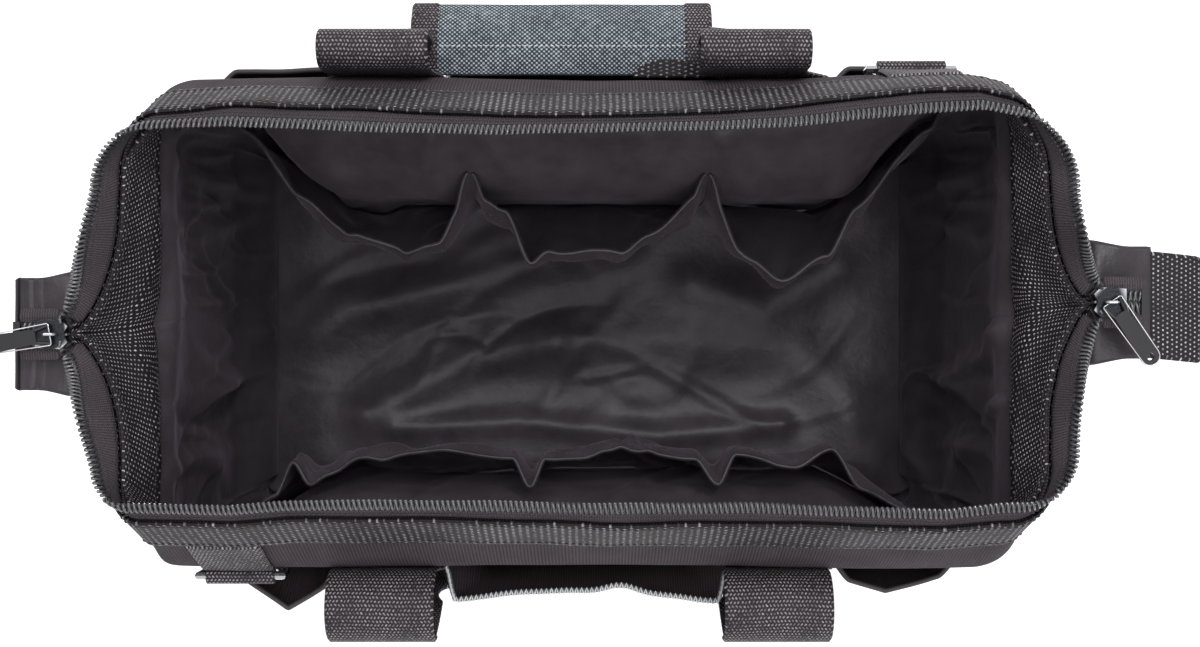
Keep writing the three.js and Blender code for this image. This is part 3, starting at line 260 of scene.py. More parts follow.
def on_wall(side, share, h, depth):
    """A place at a depth under the shell's outer face."""
    share, h, depth = np.broadcast_arrays(*(np.asarray(v, float) for v in (share, h, depth)))
    base = wall_spot(side, share, h)
    return base - wall_normal(side, share, h) * (depth + slack(side, share, h))[..., None]


def share_at(side, x, h=120.0):
    """The share of the outline at a place x on a long side."""
    x = np.asarray(x, float)
    half = lerp(BASE_LENGTH, RIM_LENGTH, (h - FOOT) / (RIM - FOOT))
    return 0.5 + (0.5 - STRAIGHT) * x / (half - corner_radius(side, (x > 0) * 1.0, h))


# Meshes


def mesh_piece(name, points, faces, uv, material):
    """A mesh in metres with outward faces, UVs in metres and its sharp edges marked."""
    name = name.replace(" ", "_").replace(".", "")
    mesh = bpy.data.meshes.new(name)
    faces = np.asarray(faces, np.int32)
    size = faces.shape[1]
    mesh.vertices.add(len(points))
    mesh.vertices.foreach_set("co", (points * MM).astype(np.float32).ravel())
    a, b, c = (points[faces[:, k]] for k in (0, 1, 2))
    volume = np.einsum("ij,ij->i", a, np.cross(b, c)).sum()
    if size == 4:
        d = points[faces[:, 3]]
        volume += np.einsum("ij,ij->i", a, np.cross(c, d)).sum()
    if volume < 0:
        faces = faces[:, ::-1]
    mesh.loops.add(faces.size)
    mesh.loops.foreach_set("vertex_index", faces.ravel())
    mesh.polygons.add(len(faces))
    mesh.polygons.foreach_set("loop_start", np.arange(0, faces.size, size, dtype=np.int32))
    mesh.polygons.foreach_set("loop_total", np.full(len(faces), size, np.int32))
    layer = mesh.uv_layers.new(name="UVMap")
    layer.data.foreach_set("uv", (uv[faces.ravel()] * MM).astype(np.float32).ravel())
    mesh.update(calc_edges=True)
    mesh.validate()
    mesh.shade_smooth()
    mesh.set_sharp_from_angle(angle=math.radians(62))
    obj = bpy.data.objects.new(name, mesh)
    bpy.context.scene.collection.objects.link(obj)
    mesh.materials.append(material[0])
    return obj


def quads(*corners):
    """Faces of four corners, from four equal arrays of point numbers."""
    return np.stack(corners, -1).reshape(-1, 4)


def halves(faces):
    """Each face of four corners as two triangles."""
    return np.concatenate([faces[:, :3], faces[:, [0, 2, 3]]])


def numbered(rows, columns):
    """The point numbers of a grid, and those one column further, round to the first."""
    index = np.arange(rows * columns).reshape(rows, columns)
    return index, np.roll(index, -1, 1)


def slab(name, outer, inner, u, v, material):
    """A sheet between two grids of points (rows, columns, 3), with rounded edges."""
    index, _ = numbered(*outer.shape[:2])
    count = index.size
    middle = (outer + inner) / 2
    out = np.zeros_like(middle)
    out[:, 0] += unit(middle[:, 0] - middle[:, 1])
    out[:, -1] += unit(middle[:, -1] - middle[:, -2])
    out[0] += unit(middle[0] - middle[1])
    out[-1] += unit(middle[-1] - middle[-2])
    border = np.concatenate([index[0, :-1], index[:-1, -1], index[-1, :0:-1], index[:0:-1, 0]])
    thick = np.linalg.norm(outer - inner, axis=-1).reshape(-1)[border][:, None]
    rim = middle.reshape(-1, 3)[border] + unit(out.reshape(-1, 3)[border]) * thick * 0.4
    points = np.concatenate([outer.reshape(-1, 3), inner.reshape(-1, 3), rim])
    flat = np.stack([w.ravel() for w in np.broadcast_arrays(u, v)], -1)
    uv = np.concatenate([flat, flat, flat[border]])
    faces = quads(index[:-1, :-1], index[:-1, 1:], index[1:, 1:], index[1:, :-1])
    here = 2 * count + np.arange(len(border))
    border_after, after = np.roll(border, -1), np.roll(here, -1)
    faces = np.concatenate([faces, faces[:, ::-1] + count, quads(border_after, border, here, after),
                            quads(after, here, border + count, border_after + count)])
    return mesh_piece(name, points, faces, uv, material)


def sheet(name, middle, thickness, u, v, material):
    """A slab of even thickness about one grid of points."""
    along = np.gradient(middle, axis=1)
    across = np.gradient(middle, axis=0)
    normal = unit(np.cross(along, across)) * thickness / 2
    return slab(name, middle + normal, middle - normal, u, v, material)


def tube(name, path, radius, material, sides=8, closed=False, up=(0, 0, 1)):
    """A round tube along a path; up may not lie along the path."""
    path = np.asarray(path, float)
    if closed:
        ahead = unit(np.roll(path, -1, 0) - np.roll(path, 1, 0))
    else:
        ahead = unit(np.gradient(path, axis=0))
    side = unit(np.cross(ahead, np.asarray(up, float)))[:, None]
    lift = np.cross(side, ahead[:, None])
    angle = (np.arange(sides) / sides * 2 * math.pi)[:, None]
    rings = path[:, None] + radius * (side * np.cos(angle) + lift * np.sin(angle))
    points = rings.reshape(-1, 3)
    run = run_along(path)
    uv = np.stack(np.broadcast_arrays(run[:, None], np.arange(sides) * 2.0), -1).reshape(-1, 2)
    index, after = numbered(len(path), sides)
    if closed:
        faces = quads(index, np.roll(index, -1, 0), np.roll(after, -1, 0), after)
        return mesh_piece(name, points, faces, uv, material)
    start = np.stack([index[0], after[0], np.full(sides, len(points))], -1)
    end = np.stack([after[-1], index[-1], np.full(sides, len(points) + 1)], -1)
    faces = np.concatenate([halves(quads(index[:-1], index[1:], after[1:], after[:-1])), start, end])
    points = np.concatenate([points, path[:1], path[-1:]])
    return mesh_piece(name, points, faces, np.concatenate([uv, [[0, 0], [run[-1], 0]]]), material)


def stitches(name, path, material, normal, pitch=3.0, dash=2.2, radius=0.28):
    """A row of sewn stitches along a path: each is a short thread that dips at its ends."""
    path = np.asarray(path, float)
    run = run_along(path)
    count = max(1, int(run[-1] / pitch))
    middle = (np.arange(count) + 0.5) * run[-1] / count
    share = np.linspace(-0.5, 0.5, 5)
    at = np.clip(middle[:, None] + share * dash, 0, run[-1])
    centre = read_at(at, run, path)
    lift = unit(read_at(at, run, np.broadcast_to(normal, path.shape)))
    side = np.cross(unit(np.gradient(centre, axis=1)), lift)
    centre = centre + lift * (radius * (0.5 - 5 * share**2))[:, None]
    wide = radius * np.array([0.35, 0.95, 1, 0.95, 0.35])
    angle = (np.arange(6) / 6 * 2 * math.pi)[:, None]
    rings = centre[:, :, None] + wide[:, None, None] * (
        side[:, :, None] * np.cos(angle) + lift[:, :, None] * np.sin(angle))
    index = np.arange(count * 5 * 6).reshape(count, 5, 6)
    after = np.roll(index, -1, 2)
    walls = quads(index[:, :-1], index[:, 1:], after[:, 1:], after[:, :-1])
    first, last = index[:, 0], index[:, -1]
    caps = [first[:, [0, 1, 2, 3]], first[:, [0, 3, 4, 5]],
            last[:, [3, 2, 1, 0]], last[:, [5, 4, 3, 0]]]
    faces = np.concatenate([walls, *caps])
    return mesh_piece(name, rings.reshape(-1, 3), faces, np.zeros((rings.size // 3, 2)), material)


# Materials


class Term:
    """A value inside a node tree. Sums, products and the like of terms are new nodes."""

    def __init__(self, tree, socket):
        self.tree, self.socket = tree, socket

    def math(self, operation, other=None):
        node = self.tree.nodes.new("ShaderNodeMath")
        node.operation = operation
        self.tree.wire(node.inputs[0], self)
        if other is not None:
            self.tree.wire(node.inputs[1], other)
        return Term(self.tree, node.outputs[0])

    def __add__(self, other):
        return self.math("ADD", other)

    def __sub__(self, other):
        return self.math("SUBTRACT", other)

    def __mul__(self, other):
        return self.math("MULTIPLY", other)

    def __truediv__(self, other):
        return self.math("DIVIDE", other)

    def __abs__(self):
        return self.math("ABSOLUTE")


class Tree:
    """A node tree built from short expressions."""

    def __init__(self, tree):
        self.nodes, self.links = tree.nodes, tree.links

    def wire(self, socket, value):
        if isinstance(value, Term):
            self.links.new(value.socket, socket)
        else:
            socket.default_value = value

    def seen_rays(self):
        """1 for what the camera sees straight or in metal and glass, 0 for what gives light."""
        path = self.nodes.new("ShaderNodeLightPath").outputs
        camera, glossy, through = (Term(self, path[f"Is {kind} Ray"])
                                   for kind in ("Camera", "Glossy", "Transmission"))
        return camera.math("MAXIMUM", glossy.math("MAXIMUM", through))


class Paint(Tree):
    """A material and its slot."""

    def __init__(self, name, slot):
        self.material = bpy.data.materials.new(name)
        self.material.use_nodes = True
        super().__init__(self.material.node_tree)
        self.slot = slot
        self.shader = self.nodes["Principled BSDF"]

    def uv(self):
        node = self.nodes.new("ShaderNodeUVMap")
        node.uv_map = "UVMap"
        parts = self.nodes.new("ShaderNodeSeparateXYZ")
        self.wire(parts.inputs[0], Term(self, node.outputs[0]))
        return Term(self, parts.outputs[0]), Term(self, parts.outputs[1])

    def noise(self, scale, detail=3.0, place=None, rough=0.55):
        """Uneven values about 0.5, over the object's own space if no place is given."""
        node = self.nodes.new("ShaderNodeTexNoise")
        if place is None:
            place = Term(self, self.nodes.new("ShaderNodeTexCoord").outputs["Object"])
        for key, value in zip(("Vector", "Scale", "Detail", "Roughness"), (place, scale, detail, rough)):
            self.wire(node.inputs[key], value)
        return Term(self, node.outputs["Fac"])

    def vector(self, x, y):
        node = self.nodes.new("ShaderNodeCombineXYZ")
        for socket, value in zip(node.inputs, (x, y, 0.0)):
            self.wire(socket, value)
        return Term(self, node.outputs[0])

    def ramp(self, value, low, high):
        """0 at low, 1 at high, and an even curve between."""
        node = self.nodes.new("ShaderNodeMapRange")
        node.interpolation_type = "SMOOTHSTEP"
        for socket, v in zip(node.inputs, (value, low, high, 0.0, 1.0)):
            self.wire(socket, v)
        return Term(self, node.outputs[0])

    def mix(self, factor, a, b):
        """Colour a where factor is 0, b where it is 1."""
        node = self.nodes.new("ShaderNodeMix")
        node.data_type = "RGBA"
        self.wire(node.inputs[0], factor)
        for socket, value in ((node.inputs[6], a), (node.inputs[7], b)):
            self.wire(socket, value if isinstance(value, Term) else (*value, 1.0))
        return Term(self, node.outputs[2])

    def bump(self, height, distance, strength=1.0):
        node = self.nodes.new("ShaderNodeBump")
        for key, value in (("Strength", strength), ("Distance", distance), ("Height", height)):
            self.wire(node.inputs[key], value)
        self.wire(self.shader.inputs["Normal"], Term(self, node.outputs[0]))

    def set(self, **values):
        for name, value in values.items():
            if isinstance(value, tuple) and len(value) == 3:
                value = (*value, 1.0)
            self.wire(self.shader.inputs[name.replace("_", " ")], value)
        return self.material, self.slot


def rgb(text):
    """Linear red, green and blue of a screen colour written as six hexadecimal digits."""
    parts = [int(text[k:k + 2], 16) / 255 for k in (0, 2, 4)]
    return tuple(p / 12.92 if p <= 0.04045 else ((p + 0.055) / 1.055) ** 2.4 for p in parts)


def dashes(paint, u, v, step_u, step_v, size_u, size_v, slant=0.0):
    """Rows of short raised dashes, every second row moved by half a step and slanted
    the other way."""
    row = (u / step_u).math("FLOOR")
    odd = abs(row).math("MODULO", 2.0)
    in_row = (u / step_u).math("FRACT") - 0.5
    leaning = (odd - 0.5) * (2 * slant) * in_row
    across = (v / step_v + (leaning + odd * 0.5)).math("FRACT") - 0.5
    a = (abs(in_row) / size_u).math("POWER", 2.0)
    b = (abs(across) / size_v).math("POWER", 2.0)
    return paint.ramp(a + b, 1.0, 0.15)


def webbing_paint(name, dark, light, step_u=2.3, step_v=2.0, size_u=0.42, size_v=0.36, slant=0.45):
    """Ribbed webbing: u runs along the webbing and v across it."""
    paint = Paint(name, "webbing")
    u, v = paint.uv()
    wobble = paint.noise(170, 2, paint.vector(u, v)) - 0.5
    u, v = u + wobble * 0.0007, v + wobble * 0.0012
    dot = dashes(paint, u, v, step_u * MM, step_v * MM, size_u, size_v, slant)
    place = paint.vector(u, v)
    uneven = paint.noise(700, 2, place) + (paint.noise(45, 2, place) - 0.5) * 0.6
    colour = paint.mix(dot * paint.ramp(uneven, 0.2, 0.75), dark, light)
    paint.bump(dot, 0.0004, 0.8)
    return paint.set(Base_Color=colour, Roughness=0.6, Specular_IOR_Level=0.2)


def cloth_paint(name, slot, dark, light, groove=0.9, rough=0.85, depth=0.00012):
    """Plain woven cloth with fine upright grooves: u runs along the bag and v up it."""
    paint = Paint(name, slot)
    u, v = paint.uv()
    place = paint.vector(u, v)
    lines = (u * (2 * math.pi / (groove * MM))).math("SINE")
    threads = (v * (2 * math.pi / (0.55 * MM))).math("SINE")
    uneven = paint.noise(60, 4, place) * 0.35 + paint.noise(1500, 2, place) * 0.6
    level = lines * threads * 0.22 + uneven + lines * 0.16
    colour = paint.mix(paint.ramp(level, 0.2, 0.95), dark, light)
    paint.bump(lines + threads * 0.6, depth, 0.7)
    return paint.set(Base_Color=colour, Roughness=rough, Specular_IOR_Level=0.15)


def satin_paint(name, dark, light, rough=0.43):
    """Thin shiny lining cloth, with small puckers."""
    paint = Paint(name, "lining_satin")
    pucker = paint.noise(55, 5, rough=0.6)
    colour = paint.mix(paint.ramp(pucker, 0.0, 1.05), dark, light)
    paint.bump(pucker + paint.noise(900, 2) * 0.03, 0.003, 0.35)
    return paint.set(Base_Color=colour, Roughness=rough, Specular_IOR_Level=0.3, Sheen_Weight=0.13,
                     Sheen_Roughness=0.4, Sheen_Tint=(0.75, 0.62, 0.78))


def weave_paint(name, dark, mid, light):
    """Coarse basket weave: small diamonds, light where a thread lies on top."""
    paint = Paint(name, "ballistic_weave")
    u, v = paint.uv()
    place = paint.vector(u, v)
    turn = 2 * math.pi / (2.3 * MM)
    top = (u * turn).math("SINE") * (v * turn).math("SINE")
    tone = (paint.noise(300, 3, place) - 0.5) * 1.3
    patch = (paint.noise(50, 3, place) - 0.5) * 0.8
    level = top + (tone + patch)
    body = paint.mix(paint.ramp(level, -0.6, 0.1), dark, mid)
    colour = paint.mix(paint.ramp(level, 0.1, 0.75), body, light)
    paint.bump(top, 0.0003, 0.8)
    return paint.set(Base_Color=colour, Roughness=0.6, Specular_IOR_Level=0.25)


def plain_paint(name, slot, colour, rough, metal=0.0, shine=0.5):
    """One colour, a little uneven."""
    paint = Paint(name, slot)
    tone = paint.mix(paint.noise(900), tuple(c * 0.7 for c in colour), colour)
    return paint.set(Base_Color=tone, Roughness=rough, Metallic=metal, Specular_IOR_Level=shine)


def edge_highlight_paint(name, slot, colour, edge, rough, metal):
    """Painted metal, speckled, and with a painted highlight: its sharp edges are coloured bright."""
    paint = Paint(name, slot)
    shape = paint.nodes.new("ShaderNodeNewGeometry")
    # painted highlight: the bright edge colour goes where pointiness finds sharp edges
    sharp = paint.ramp(Term(paint, shape.outputs["Pointiness"]), 0.53, 0.6)
    speckle = paint.ramp(paint.noise(1400), 0.35, 0.65)
    tone = paint.mix(speckle, tuple(c * 0.55 for c in colour), colour)
    return paint.set(Base_Color=paint.mix(sharp, tone, edge), Roughness=rough, Metallic=metal)


WEBBING = webbing_paint("webbing", rgb("292427"), rgb("b2abb1"), 1.75, 1.7)
RIM_WEBBING = webbing_paint("rim webbing", rgb("191517"), rgb("bcb6be"), 2.9, 1.9, 0.33, 0.27, 0.2)
INNER_WEBBING = webbing_paint("inner webbing", rgb("231f22"), rgb("d6d0d7"), 2.2, 2.1, 0.27, 0.27, 0.0)
SHELL = cloth_paint("shell cloth", "shell_fabric", rgb("2f292d"), rgb("625a60"), 1.5)
POCKET = cloth_paint("pocket cloth", "pocket_fabric", rgb("362e32"), rgb("61575c"), 1.2)
TAPE = cloth_paint("zip tape", "zip_tape", rgb("363135"), rgb("635c62"), 1.1, 0.8)
SATIN = satin_paint("lining satin", rgb("312c30"), rgb("544e54"))
SHINE = satin_paint("tab base satin", rgb("242025"), rgb("443e44"), 0.36)
WEAVE = weave_paint("basket weave", rgb("272b32"), rgb("4c535b"), rgb("bcc5cd"))
COIL = plain_paint("coil plastic", "coil_plastic", rgb("4c4b50"), 0.2, shine=1.0)
# the sliders' metal, with a painted highlight on its sharp edges
HIGHLIT_METAL = edge_highlight_paint("black metal", "black_metal", rgb("3a3b40"), rgb("c2c4c8"), 0.27, 0.8)
PULL = plain_paint("pull metal", "black_metal", rgb("28262a"), 0.33, 0.2)
# painted highlight: bright metal for the line round each pull's upper face
HIGHLIGHT_LINE = plain_paint("painted highlight line", "black_metal", rgb("c8c9cc"), 0.2, 1.0)
NICKEL = plain_paint("nickel", "nickel", rgb("c9cacc"), 0.16, 1.0)
THREAD = plain_paint("thread", "webbing", rgb("3a3538"), 0.6)
PALE_THREAD = plain_paint("pale thread", "ballistic_weave", rgb("f2f4f6"), 0.6)
GREY_THREAD = plain_paint("grey thread", "ballistic_weave", rgb("6f7478"), 0.7)
BOARD = plain_paint("fibreboard", "fibreboard", rgb("3a332e"), 0.9)


# Baking pieces into place, and lengths along the rim


def lean(obj):
    """Bakes the piece's transform into its mesh."""
    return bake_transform(obj)


def run_of(share):
    """The length in mm along the outline at the rim, for the weave's scale."""
    places = (0, END_SHARE, STRAIGHT, 1 - STRAIGHT, 1 - END_SHARE, 1)
    return np.interp(share, places, (0, 76, 110, 474, 508, 584))


# Base


def rounded(inset, count=16):
    """The base's rounded rectangle, moved in by inset."""
    x, y, r = BASE_LENGTH - inset, BASE_WIDTH - inset, BASE_CORNER - inset / 2
    turn = np.linspace(0, math.pi / 2, count)
    middles = ((x - r, y - r), (r - x, y - r), (r - x, r - y), (x - r, r - y))
    return np.concatenate([np.stack([cx + r * np.cos(turn + k * math.pi / 2),
                                     cy + r * np.sin(turn + k * math.pi / 2)], -1)
                           for k, (cx, cy) in enumerate(middles)])


def ring_path(inset, z, step=3.0):
    """Evenly spaced points round the base at a height."""
    corner = rounded(inset)
    loop = np.concatenate([corner, corner[:1]])
    run = run_along(loop)
    place = read_at(np.arange(0, run[-1], step), run, loop)
    return spot(place[:, 0], place[:, 1], z)


def plate(name, thickness, material, rings=40):
    """The base's whole rounded rectangle, built as rings that shrink to its middle."""
    grid = rounded(0, 24) * np.linspace(1, 0.0, rings)[:, None, None]
    n, m = grid.shape[:2]
    index, after = numbered(n, m)
    count = n * m
    faces = quads(index[:-1], after[:-1], after[1:], index[1:])[: (n - 2) * m]
    fans = np.stack([index[-2], after[-2], np.full(m, index[-1, 0])], -1)
    top = np.concatenate([halves(faces), fans])
    wall = quads(index[0], after[0], after[0] + count, index[0] + count)
    faces = np.concatenate([top, top[:, ::-1] + count, wall[:, [0, 2, 1]], wall[:, [0, 3, 2]]])
    x, y = grid[..., 0], grid[..., 1]
    points = np.concatenate([spot(x, y, z).reshape(-1, 3) for z in (thickness, 0)])
    used, where = np.unique(faces, return_inverse=True)
    points = points[used]
    return mesh_piece(name, points, where.reshape(faces.shape), points[:, :2], material)


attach(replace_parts(plate("base cloth", 2.2, SHELL), "base_panel"), "bag")
piping = tube("base welt", ring_path(-0.4, 4.9), 2.5, WEBBING, 10, closed=True)
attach(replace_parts(piping, "base_piping"), "bag")


def ridge(x, y, path, height, width):
    """A long soft fold: a bell across a line through some points, fading at both ends."""
    path = np.array(path, float)
    total = np.zeros(np.broadcast(x, y).shape)
    for (x0, y0), (x1, y1) in zip(path[:-1], path[1:]):
        far = math.hypot(x1 - x0, y1 - y0)
        along = ((x - x0) * (x1 - x0) + (y - y0) * (y1 - y0)) / far**2
        near = np.clip(along, 0, 1)
        away = np.hypot(x - lerp(x0, x1, near), y - lerp(y0, y1, near))
        total = np.maximum(total, np.exp(-((away / width) ** 2)))
    return height * total


def floor_folds(x, y):
    """The loose floor lining: it climbs towards the walls, and long folds cross it."""
    edge = smooth((189 - np.abs(x)) / 45) * smooth((100 - np.abs(y)) / 20)
    climb = (7 * smooth((-y - 18) / 60) + 4.5 * smooth((y - 30) / 40)
             + 3 * smooth((np.abs(x) - 130) / 50))
    long = (ridge(x, y, ((-188, -22), (-136, 4), (-30, 34), (20, 44)), 7, 13)
            + ridge(x, y, ((-126, -54), (-68, -22), (-20, -14)), 6, 12)
            + ridge(x, y, ((-20, -14), (60, -12), (118, -20), (150, -52)), 4.5, 16)
            + ridge(x, y, ((60, 20), (100, 6), (140, 30)), 5, 14)
            + ridge(x, y, ((-110, -62), (-40, -58), (40, -66), (110, -60)), 4, 7))
    small = creases(x, y, 5, 30, (-175, 175), (-85, 85), 2.2, 6, 36, (-0.6, 1.0))
    return edge * np.clip(0.8 + climb + long + small + 1.2 * waves(x, y, 6, 90), 0, 16)


def floor_grid(inset, z, columns=300, rows=160):
    """The base's rounded rectangle as an even grid, at a height."""
    x, y, r = BASE_LENGTH - inset, BASE_WIDTH - inset, BASE_CORNER - inset / 2
    across = np.linspace(-x, x, columns)
    beyond = np.clip(np.abs(across) - (x - r), 0, r)
    limit = y - r + np.sqrt(np.maximum(r**2 - beyond**2, 0))
    return spot(across[None], np.linspace(-1, 1, rows)[:, None] * limit[None], z)


top = floor_grid(8, 6.9)
top[..., 2] += floor_folds(top[..., 0], top[..., 1])
floor_cloth = slab("floor lining", top, top - [0, 0, 1.1], top[..., 0], top[..., 1], SATIN)
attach(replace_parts(floor_cloth, "floor_lining"), "bag")

# Shell, lining and the webbing round the mouth


def end_drop(share):
    """How much lower the inner webbing reaches towards the two tips."""
    return 19 * dip(share) ** 1.5


def sag(side, share, h):
    """How far the loose lining hangs in from the long walls, and bags at the ends."""
    most, reach = (26, 95) if side < 0 else (45, 86)
    edge = np.minimum(share - STRAIGHT, 1 - STRAIGHT - share) / (1 - 2 * STRAIGHT)
    hang = smooth((209 - h) / reach) * lerp(0.8, 1, smooth((h - FOOT) / 90))
    ends = end_weight(share) * smooth((h - 140) / 40) * smooth((213 - end_drop(share) - h) / 14) * 5
    return most * smooth(edge * 6) * hang + ends


LINING_RUN, LINING_GAP = 1010, 2.8


def lining_depth(side, share, h):
    """Depth of the lining's outer face: its gap to the shell, its sag and its folds."""
    u = share * LINING_RUN
    free = smooth((212 - h) / 25) * smooth((h - FOOT) / 20)
    seed = 21 if side < 0 else 22
    fold = creases(u, h, seed, 46, (0, LINING_RUN), (20, 205), 5.0, 7, 48, (0.6, 2.5))
    from_end = np.minimum(u, LINING_RUN - u)
    upright = creases(from_end, h, seed + 5, 16, (20, 215), (90, 200), 6.0, 9, 70, (1.1, 2.0))
    upright = upright * smooth((from_end - 4) / 20) * smooth((182 - h) / 75)
    cove = 16 * end_weight(share) * (1 - smooth((h - FOOT) / 50))
    folds = np.clip(fold * smooth(from_end / 16) + upright + 2.2, 0, 12)
    return LINING_GAP + sag(side, share, h) + cove + free * folds


def wall_slab(name, side, share, h, depth, thickness, material, uv=None):
    """A layer of cloth that lies at a depth under the shell's outer face. Its u runs along
    the rim and its v up the wall, if uv doesn't give others."""
    outer, inner = on_wall(side, share, h, depth), on_wall(side, share, h, depth + thickness)
    return slab(name, outer, inner, *(uv or (run_of(share), h)), material)


def wall_seam(name, side, share, h, depth):
    """A row of stitches at a depth: outside the shell it faces outwards, else inwards."""
    facing = wall_normal(side, share, h) * (1 if np.max(depth) < 0 else -1)
    lean(stitches(name, on_wall(side, share, h, depth), THREAD, facing))


for side, name in SIDES:
    rows = np.concatenate([np.linspace(FOOT, BAND, 70), np.linspace(BAND, RIM - 4, 9)[1:]])
    S, H = np.meshgrid(np.linspace(0, 1, 340), rows)
    shell = wall_slab(f"{name} shell", side, S, H, 0.0, 2.2, SHELL)
    lean(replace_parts(shell, f"{name}_wall", "end_wall_left", "end_wall_right"))
    lining = wall_slab(f"{name} loose lining", side, S, H, lining_depth(side, S, H), 0.8, SATIN)
    lean(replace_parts(lining, f"{name}_lining", "end_lining_left", "end_lining_right"))
    S, H = np.meshgrid(np.linspace(0, 1, 340), np.linspace(BAND, RIM, 14))
    outside = wall_slab(f"{name} rim webbing outside", side, S, H, -1.9, 1.6, RIM_WEBBING)
    lean(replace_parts(outside, f"{name}_rim_webbing"))
    H = lerp(RIM, H, 1 + end_drop(S) / (RIM - BAND))
    inside = wall_slab(f"{name} rim webbing inside", side, S, H, 3.8, 1.6, INNER_WEBBING)
    lean(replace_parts(inside, f"{name}_inner_webbing"))
    seams = np.linspace(0.004, 0.996, 700)
    for h, depth, where in ((BAND + 2.5, -2.0, "outside low"), (RIM - 2.5, -2.0, "outside high"),
                            (BAND + 2.5 - end_drop(seams), 5.5, "inside low"),
                            (RIM - 2.5, 5.5, "inside high")):
        wall_seam(f"{name} rim stitches {where}", side, seams, h, depth)

# Zip


def tape_edge(side, share):
    """Where the tape ends and the coil begins."""
    share = np.asarray(share, float)
    x, y = outline(side, share, MOUTH_LENGTH, MOUTH_WIDTH, 1.0, COIL_ROOT,
                   power=TAPE_POWER[side], mouth=True)
    y = y + side * bulge(side, share, x)
    q = np.clip((end_place(share) - 0.1) * 1.75, 0, 1)
    top = lerp(RIM + 2.8, 235.5, end_weight(share))
    return spot(x, y, lerp(top, TAIL_HEIGHT, np.cos(q * math.pi / 2) ** 2))


def tape_root(side, share):
    """Where the tape comes out of the rim, or its outer edge beside the tail."""
    share = np.asarray(share, float)
    hand = by_hand(share, HAND)
    rim = on_wall(side, np.clip(share, 0.014, 0.986), RIM - 1.0, 1.1)
    tip = hand * (MOUTH_LENGTH + by_hand(share, TIP))
    tail = spot(tip, side * TAIL_HALF + hand * TIP_OFFSET, TAIL_HEIGHT - 0.5)
    return lerp(tail, rim, np.clip(end_place(share) / 0.08, 0, 1)[..., None])


def tail_points(side, hand, away):
    """The coil's root along the straight closed tail beyond the slider."""
    x = hand * (MOUTH_LENGTH + TIP[hand] + away)
    return spot(x, hand * TIP_OFFSET + side * COIL_ROOT, TAIL_HEIGHT)


# The coil: steps in each turn, and the weights that even out its direction over ten turns
TURN_STEPS = 12
kernel = np.hanning(121) / np.hanning(121).sum()

for side, name in SIDES:
    places = np.linspace(0, 1, 420)
    root, edge = tape_root(side, places), tape_edge(side, places)
    across = np.linspace(0, 1, 7)[:, None, None]
    bow = np.sin(across * math.pi) * spot(0, 0, 0.7)
    middle = lerp(root, edge, across) + bow
    for hand in HAND:
        away = np.linspace(TAIL_LENGTH, 1, 9)
        far_edge = tail_points(side, hand, away)
        far_root = spot(far_edge[:, 0], hand * TIP_OFFSET + side * TAIL_HALF, TAIL_HEIGHT - 0.5)
        tail = lerp(far_root, far_edge, across) + bow
        middle = np.concatenate([tail, middle] if hand < 0 else [middle, tail[:, ::-1]], 1)
    path = middle[-1]
    length = run_along(path)
    toward = unit(middle[-1] - middle[-2])
    under = np.linspace(0.25, 1, 4)[:, None, None]
    carried = path + toward * under * 4.2 - np.array([0, 0, 1.1]) * smooth(under * 2)
    cloth = np.concatenate([middle, carried])
    width = np.concatenate([across[:, 0, 0] * 8, 8 + under[:, 0, 0] * 4.2])[:, None]
    tape = sheet(f"{name} tape", cloth, 0.7, length[None], width, TAPE)
    lean(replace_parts(tape, f"{name}_zip_tape"))
    count = int(length[-1] / COIL_PITCH)
    turns = np.linspace(0, count, count * TURN_STEPS)
    at = turns / count * length[-1]
    line = read_at(at, length, path)
    ahead = unit(np.gradient(line, axis=0))
    reach = unit(read_at(at, length, toward))
    reach = np.pad(reach, ((len(kernel) // 2,) * 2, (0, 0)), "edge")
    reach = np.stack([np.convolve(w, kernel, "valid") for w in reach.T], -1) + [0, 0, 0.12]
    reach = unit(reach - ahead * np.einsum("ij,ij->i", reach, ahead)[:, None])
    rise = np.cross(reach, ahead)
    rise *= np.sign(rise[:, 2:])
    angle = 2 * math.pi * (turns + (0 if side < 0 else 0.5))[:, None]
    winding = line + reach * (2.75 + 2.3 * np.cos(angle)) + rise * (0.35 + 0.75 * np.sin(angle))
    coil = tube(f"{name} coil", winding, 0.68, COIL, 6)
    lean(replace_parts(coil, f"{name}_zip_coil"))
    for off, which in ((0.3, "inner"), (2.2, "outer")):
        thread = (line - reach * off + rise * 0.6)[::TURN_STEPS]
        lean(stitches(f"{name} coil stitches {which}", thread, THREAD, rise[::TURN_STEPS],
                      2.4, 1.9, 0.25))

# Tab bases and end tabs

BASE_END, HEM_PLACE = 250.0, 243.5
TAB_HALF = {-1: 24.0, 1: 22.6}

